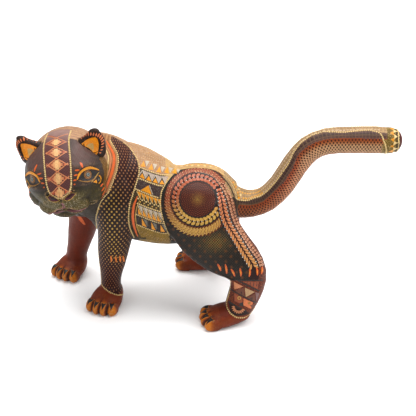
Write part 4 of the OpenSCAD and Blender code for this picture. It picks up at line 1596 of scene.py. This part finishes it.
class Mixer:
    """One node material, with short calls for the nodes that it is made of."""

    def __init__(self, name):
        self.material = bpy.data.materials.new(name)
        self.material.use_nodes = True
        self.tree = self.material.node_tree
        self.shader = self.tree.nodes["Principled BSDF"]
        place = self.tree.nodes.new("ShaderNodeTexCoord")
        self.place = place.outputs["Object"]

    def feed(self, socket, value):
        """Links a socket or sets a number on an input."""
        if isinstance(value, bpy.types.NodeSocket):
            self.tree.links.new(value, socket)
        else:
            socket.default_value = value

    def calc(self, operation, *values):
        """The result of one step of arithmetic on sockets or numbers."""
        node = self.tree.nodes.new("ShaderNodeMath")
        node.operation = operation
        for k, value in enumerate(values):
            self.feed(node.inputs[k], value)
        return node.outputs[0]

    def clip(self, value, low, high, start=0.0, end=1.0):
        """From start at low to end at high, with smooth ends."""
        node = self.tree.nodes.new("ShaderNodeMapRange")
        node.interpolation_type = "SMOOTHSTEP"
        for k, v in enumerate((value, low, high, start, end)):
            self.feed(node.inputs[k], v)
        return node.outputs[0]

    def mix(self, share, first, second):
        """A share of the way from the first colour to the second."""
        node = self.tree.nodes.new("ShaderNodeMix")
        node.data_type = "RGBA"
        node.clamp_result = True
        self.feed(node.inputs[0], share)
        self.feed(node.inputs[6], first)
        self.feed(node.inputs[7], second)
        return node.outputs[2]

    def noise(self, size, detail=3.0, stretch=(1, 1, 1)):
        """Noise with features of about size millimetres."""
        scale = self.tree.nodes.new("ShaderNodeVectorMath")
        scale.operation = "MULTIPLY"
        self.feed(scale.inputs[0], self.place)
        scale.inputs[1].default_value = [1 / (MM * size * s) for s in stretch]
        node = self.tree.nodes.new("ShaderNodeTexNoise")
        self.feed(node.inputs["Vector"], scale.outputs[0])
        node.inputs["Scale"].default_value = 1
        node.inputs["Detail"].default_value = detail
        return node.outputs["Fac"]

    def stored(self, label):
        """The node that reads the values stored on the mesh under a label."""
        node = self.tree.nodes.new("ShaderNodeAttribute")
        node.attribute_name = label
        return node

    def bump(self, height, strength, depth):
        """Bumps up to depth millimetres high."""
        node = self.tree.nodes.new("ShaderNodeBump")
        node.inputs["Strength"].default_value = strength
        node.inputs["Distance"].default_value = depth * MM
        self.feed(node.inputs["Height"], height)
        self.feed(self.shader.inputs["Normal"], node.outputs[0])


def wear_and_hollow_shade(m, colour, bulge):
    """Lightens worn high spots, darkens hollows as painted shade, and adds uneven brushing."""
    brushed = m.clip(m.noise(5, 4, (1, 1, 2.5)), 0.3, 0.7)
    dim = m.mix(m.calc("MULTIPLY", brushed, 0.22), colour, (0.02, 0.014, 0.01, 1))
    # painted shade: the colour goes darker where the skin lies in a hollow
    deep = m.mix(m.clip(bulge, 0.5, 0.2, 0, 0.6), dim, (0.012, 0.008, 0.007, 1))
    rubbed = m.calc("MULTIPLY", m.clip(bulge, 0.56, 0.9, 0, 0.5), m.clip(m.noise(1.6, 5), 0.45, 0.62))
    return m.mix(rubbed, deep, (*linear("tan"), 1))


def painted_skin():
    """Matt ground colours with the fine dots, meshes and speckles painted over them."""
    m = Mixer("painted_copal")
    ground, accent = m.stored("ground").outputs["Color"], m.stored("accent").outputs["Color"]
    weights = m.stored("weights")
    amount = m.tree.nodes.new("ShaderNodeSeparateColor")
    m.feed(amount.inputs[0], weights.outputs["Color"])
    page = m.tree.nodes.new("ShaderNodeSeparateXYZ")
    m.feed(page.inputs[0], m.stored("chart").outputs["Vector"])
    p, q, size = page.outputs

    def off_middle(value):
        return m.calc("SUBTRACT", m.calc("FRACT", value), 0.5)

    reach = None
    for shift in (0.0, 0.5):
        dp = off_middle(m.calc("ADD", p, shift))
        dq = off_middle(m.calc("ADD", q, shift))
        gap = m.calc("SQRT", m.calc("ADD", m.calc("MULTIPLY", dp, dp), m.calc("MULTIPLY", dq, dq)))
        reach = gap if reach is None else m.calc("MINIMUM", reach, gap)
    wobble = m.calc("MULTIPLY", m.calc("SUBTRACT", m.noise(1.1, 2), 0.5), 0.12)
    inside = m.calc("SUBTRACT", m.calc("ADD", size, wobble), reach)
    dot = m.calc("MULTIPLY", m.clip(inside, -0.03, 0.05), amount.outputs[0])
    edge = m.calc("MAXIMUM", m.calc("ABSOLUTE", off_middle(p)), m.calc("ABSOLUTE", off_middle(q)))
    thin = m.clip(edge, 0.36, 0.46)
    mesh = m.calc("MULTIPLY", thin, m.calc("MULTIPLY", amount.outputs[1], 0.7))
    speck = m.calc("MULTIPLY", m.clip(m.noise(0.85, 1), 0.55, 0.66), amount.outputs[2])
    colour = m.mix(speck, ground, accent)
    colour = m.mix(mesh, colour, accent)
    colour = m.mix(dot, colour, accent)
    colour = wear_and_hollow_shade(m, colour, weights.outputs["Alpha"])
    m.feed(m.shader.inputs["Base Color"], colour)
    m.feed(m.shader.inputs["Roughness"], m.clip(m.noise(3.5, 4), 0.25, 0.75, 0.4, 0.56))
    m.shader.inputs["IOR"].default_value = 1.5
    m.shader.inputs["Specular IOR Level"].default_value = SHEEN_PAINT
    strokes = m.calc("MULTIPLY", m.noise(1.4, 5, (4, 1, 1)), 0.5)
    raised = m.calc("ADD", m.calc("MULTIPLY", dot, 0.5), m.calc("MULTIPLY", mesh, 0.3))
    m.bump(m.calc("ADD", raised, strokes), 0.55, 0.22)
    return m.material


def raised_paint():
    """Thick brushed paint of the raised motifs and dots."""
    m = Mixer("raised_paint")
    tint = m.stored("tint").outputs["Color"]
    streak = m.clip(m.noise(1.2, 4), 0.35, 0.7, 0, 0.28)
    colour = m.mix(streak, tint, (0.03, 0.018, 0.012, 1))
    m.feed(m.shader.inputs["Base Color"], colour)
    m.feed(m.shader.inputs["Roughness"], m.clip(m.noise(2.5, 3), 0.3, 0.7, 0.36, 0.5))
    m.shader.inputs["Specular IOR Level"].default_value = SHEEN_RELIEF
    m.bump(m.noise(0.7, 4), 0.4, 0.12)
    return m.material


def bare_wood(name, tone):
    """Cut copal wood: pale, with straight grain and pores."""
    m = Mixer(name)
    grain = m.noise(3.2, 6, (0.35, 1, 8))
    pores = m.clip(m.noise(0.9, 3, (1, 1, 6)), 0.58, 0.7)
    colour = m.mix(m.clip(grain, 0.3, 0.7), (*linear(tone), 1), (*linear(mixed(tone, "brown", 0.4)), 1))
    colour = m.mix(m.calc("MULTIPLY", pores, 0.4), colour, (*linear("brown"), 1))
    m.feed(m.shader.inputs["Base Color"], colour)
    m.feed(m.shader.inputs["Roughness"], m.clip(grain, 0.3, 0.7, 0.62, 0.8))
    m.bump(m.calc("ADD", grain, m.calc("MULTIPLY", pores, -0.6)), 0.5, 0.2)
    return m.material


# ---------------------------------------------------------------- the painted figure

def painted_relief(form, form_tree, pieces):
    """All the raised paint, laid out over the whole form and shared out among the pieces."""
    owner_tree = kd_tree(np.concatenate([points_of(piece) for piece in pieces.values()]))
    relief = Relief(owner_tree, [name for name, piece in pieces.items() for _ in piece.data.vertices])
    skin, normals = points_of(form), normals_of(form)
    twin, far_side = near_twin(skin)
    flat = side_chart(twin)
    off_head = apply(AT_NECK.inverted(), skin)[:, 2] < 3
    for is_far in (False, True):
        direction = LOOK * (1, -1, 1) if is_far else LOOK
        page = np.flatnonzero((far_side == is_far) & off_head)
        page = page[seen_from(skin[page], normals[page], form_tree, direction)]
        chart = Chart(skin[page], normals[page], flat[page])
        for paint in (paint_flank, paint_medallion, paint_braid, paint_crest, paint_shank, paint_foreleg):
            paint(relief, chart)
    page = np.flatnonzero((skin[:, 0] > 22) & (np.abs(skin[:, 1] - SPINE_Y) < TAIL_HALF) & (skin[:, 2] > 84))
    flat = tail_chart(skin[page])
    lap = np.abs(flat[:, 1]) > 120
    wrapped = flat[lap] - np.sign(flat[lap][:, 1:]) * (0, 360)
    page = np.r_[page, page[lap]]
    paint_tail(relief, Chart(skin[page], normals[page], np.concatenate([flat, wrapped])))
    paint_face(relief, skin, normals, form_tree)
    for side in SIGN:
        paint_ear(relief, pieces["ear_" + side], side)
    for name in PAWS:
        paint_claws(relief, pieces[name], name)
    return relief


def settle(obj, name):
    """Puts a piece or its paintwork on the body that moves it."""
    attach(obj, name if name.startswith(("tail", "ear")) else "body")


form = carved_form()
form_tree = BVHTree.FromObject(form, bpy.context.evaluated_depsgraph_get())
form_bulge = (kd_tree(points_of(form)), bulge_of(points_of(form), normals_of(form), edges_of(form)))
pieces = parted(form)
for side in SIGN:
    pieces["ear_" + side] = carved_ear(side)
relief = painted_relief(form, form_tree, pieces)
skin_paint, thick_paint = painted_skin(), raised_paint()
copal = bare_wood("bare_copal", (208, 172, 120))
for name, piece in pieces.items():
    piece.data.materials.clear()
    piece.data.materials.append(skin_paint)
    piece.data.materials.append(copal)
    coat_piece(piece, name, form_tree, form_bulge)
    piece.data.set_sharp_from_angle(angle=math.radians(50))
    settle(piece, name)
    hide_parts(name)
for name, work in relief.objects(thick_paint).items():
    settle(work, name)
drop(form)
dowel_wood = bare_wood("dowel_wood_grain", (190, 150, 98))
for name, node in frame["nodes"].items():
    if "_dowel" in name or name == "tail_peg":
        node.data.materials.clear()
        node.data.materials.append(dowel_wood)


# ---------------------------------------------------------------- stage, camera and light

TARGET = Vector((-0.003, 0.0305, 0.085))
DISTANCE = 1.0
SENSOR, PICTURE, PIXELS_PER_M = 36, 416, 1000

camera = bpy.data.cameras.new("camera")
camera.sensor_width = SENSOR
camera.lens = SENSOR * DISTANCE * PIXELS_PER_M / PICTURE
eye = bpy.data.objects.new("camera", camera)
eye.location = TARGET + DISTANCE * Vector(LOOK)
eye.rotation_euler = (math.pi / 2 - TILT, 0, 0)
bpy.context.scene.collection.objects.link(eye)
bpy.context.scene.camera = eye


def softbox(name, place, size, power):
    """A white area light that faces the figure."""
    light = bpy.data.lights.new(name, "AREA")
    light.shape = "RECTANGLE"
    light.size, light.size_y = size
    light.energy = power
    obj = bpy.data.objects.new(name, light)
    obj.location = place
    obj.rotation_euler = (TARGET - Vector(place)).to_track_quat("-Z", "Y").to_euler()
    bpy.context.scene.collection.objects.link(obj)


softbox("top_light", (0.1, 0.25, 1.3), (1.4, 1.1), 31)
softbox("left_light", (-1.1, -0.7, 0.8), (0.8, 0.8), 4)
softbox("right_light", (1.2, -0.2, 0.9), (0.7, 0.7), 9)

bpy.context.scene.view_settings.view_transform = "Standard"
world = bpy.data.worlds.new("studio")
bpy.context.scene.world = world
world.use_nodes = True
world.node_tree.nodes["Background"].inputs["Color"].default_value = (1, 1, 1, 1)
world.node_tree.nodes["Background"].inputs["Strength"].default_value = 0.63

floor_mesh = bpy.data.meshes.new("floor")
floor_mesh.from_pydata([(-6, -6, 0), (6, -6, 0), (6, 6, 0), (-6, 6, 0)], [], [(0, 1, 2, 3)])
floor = bpy.data.objects.new("floor", floor_mesh)
bpy.context.scene.collection.objects.link(floor)
paper = bpy.data.materials.new("paper")
paper.use_nodes = True
paper.node_tree.nodes["Principled BSDF"].inputs["Base Color"].default_value = (0.93, 0.93, 0.93, 1)
paper.node_tree.nodes["Principled BSDF"].inputs["Roughness"].default_value = 0.9
floor_mesh.materials.append(paper)
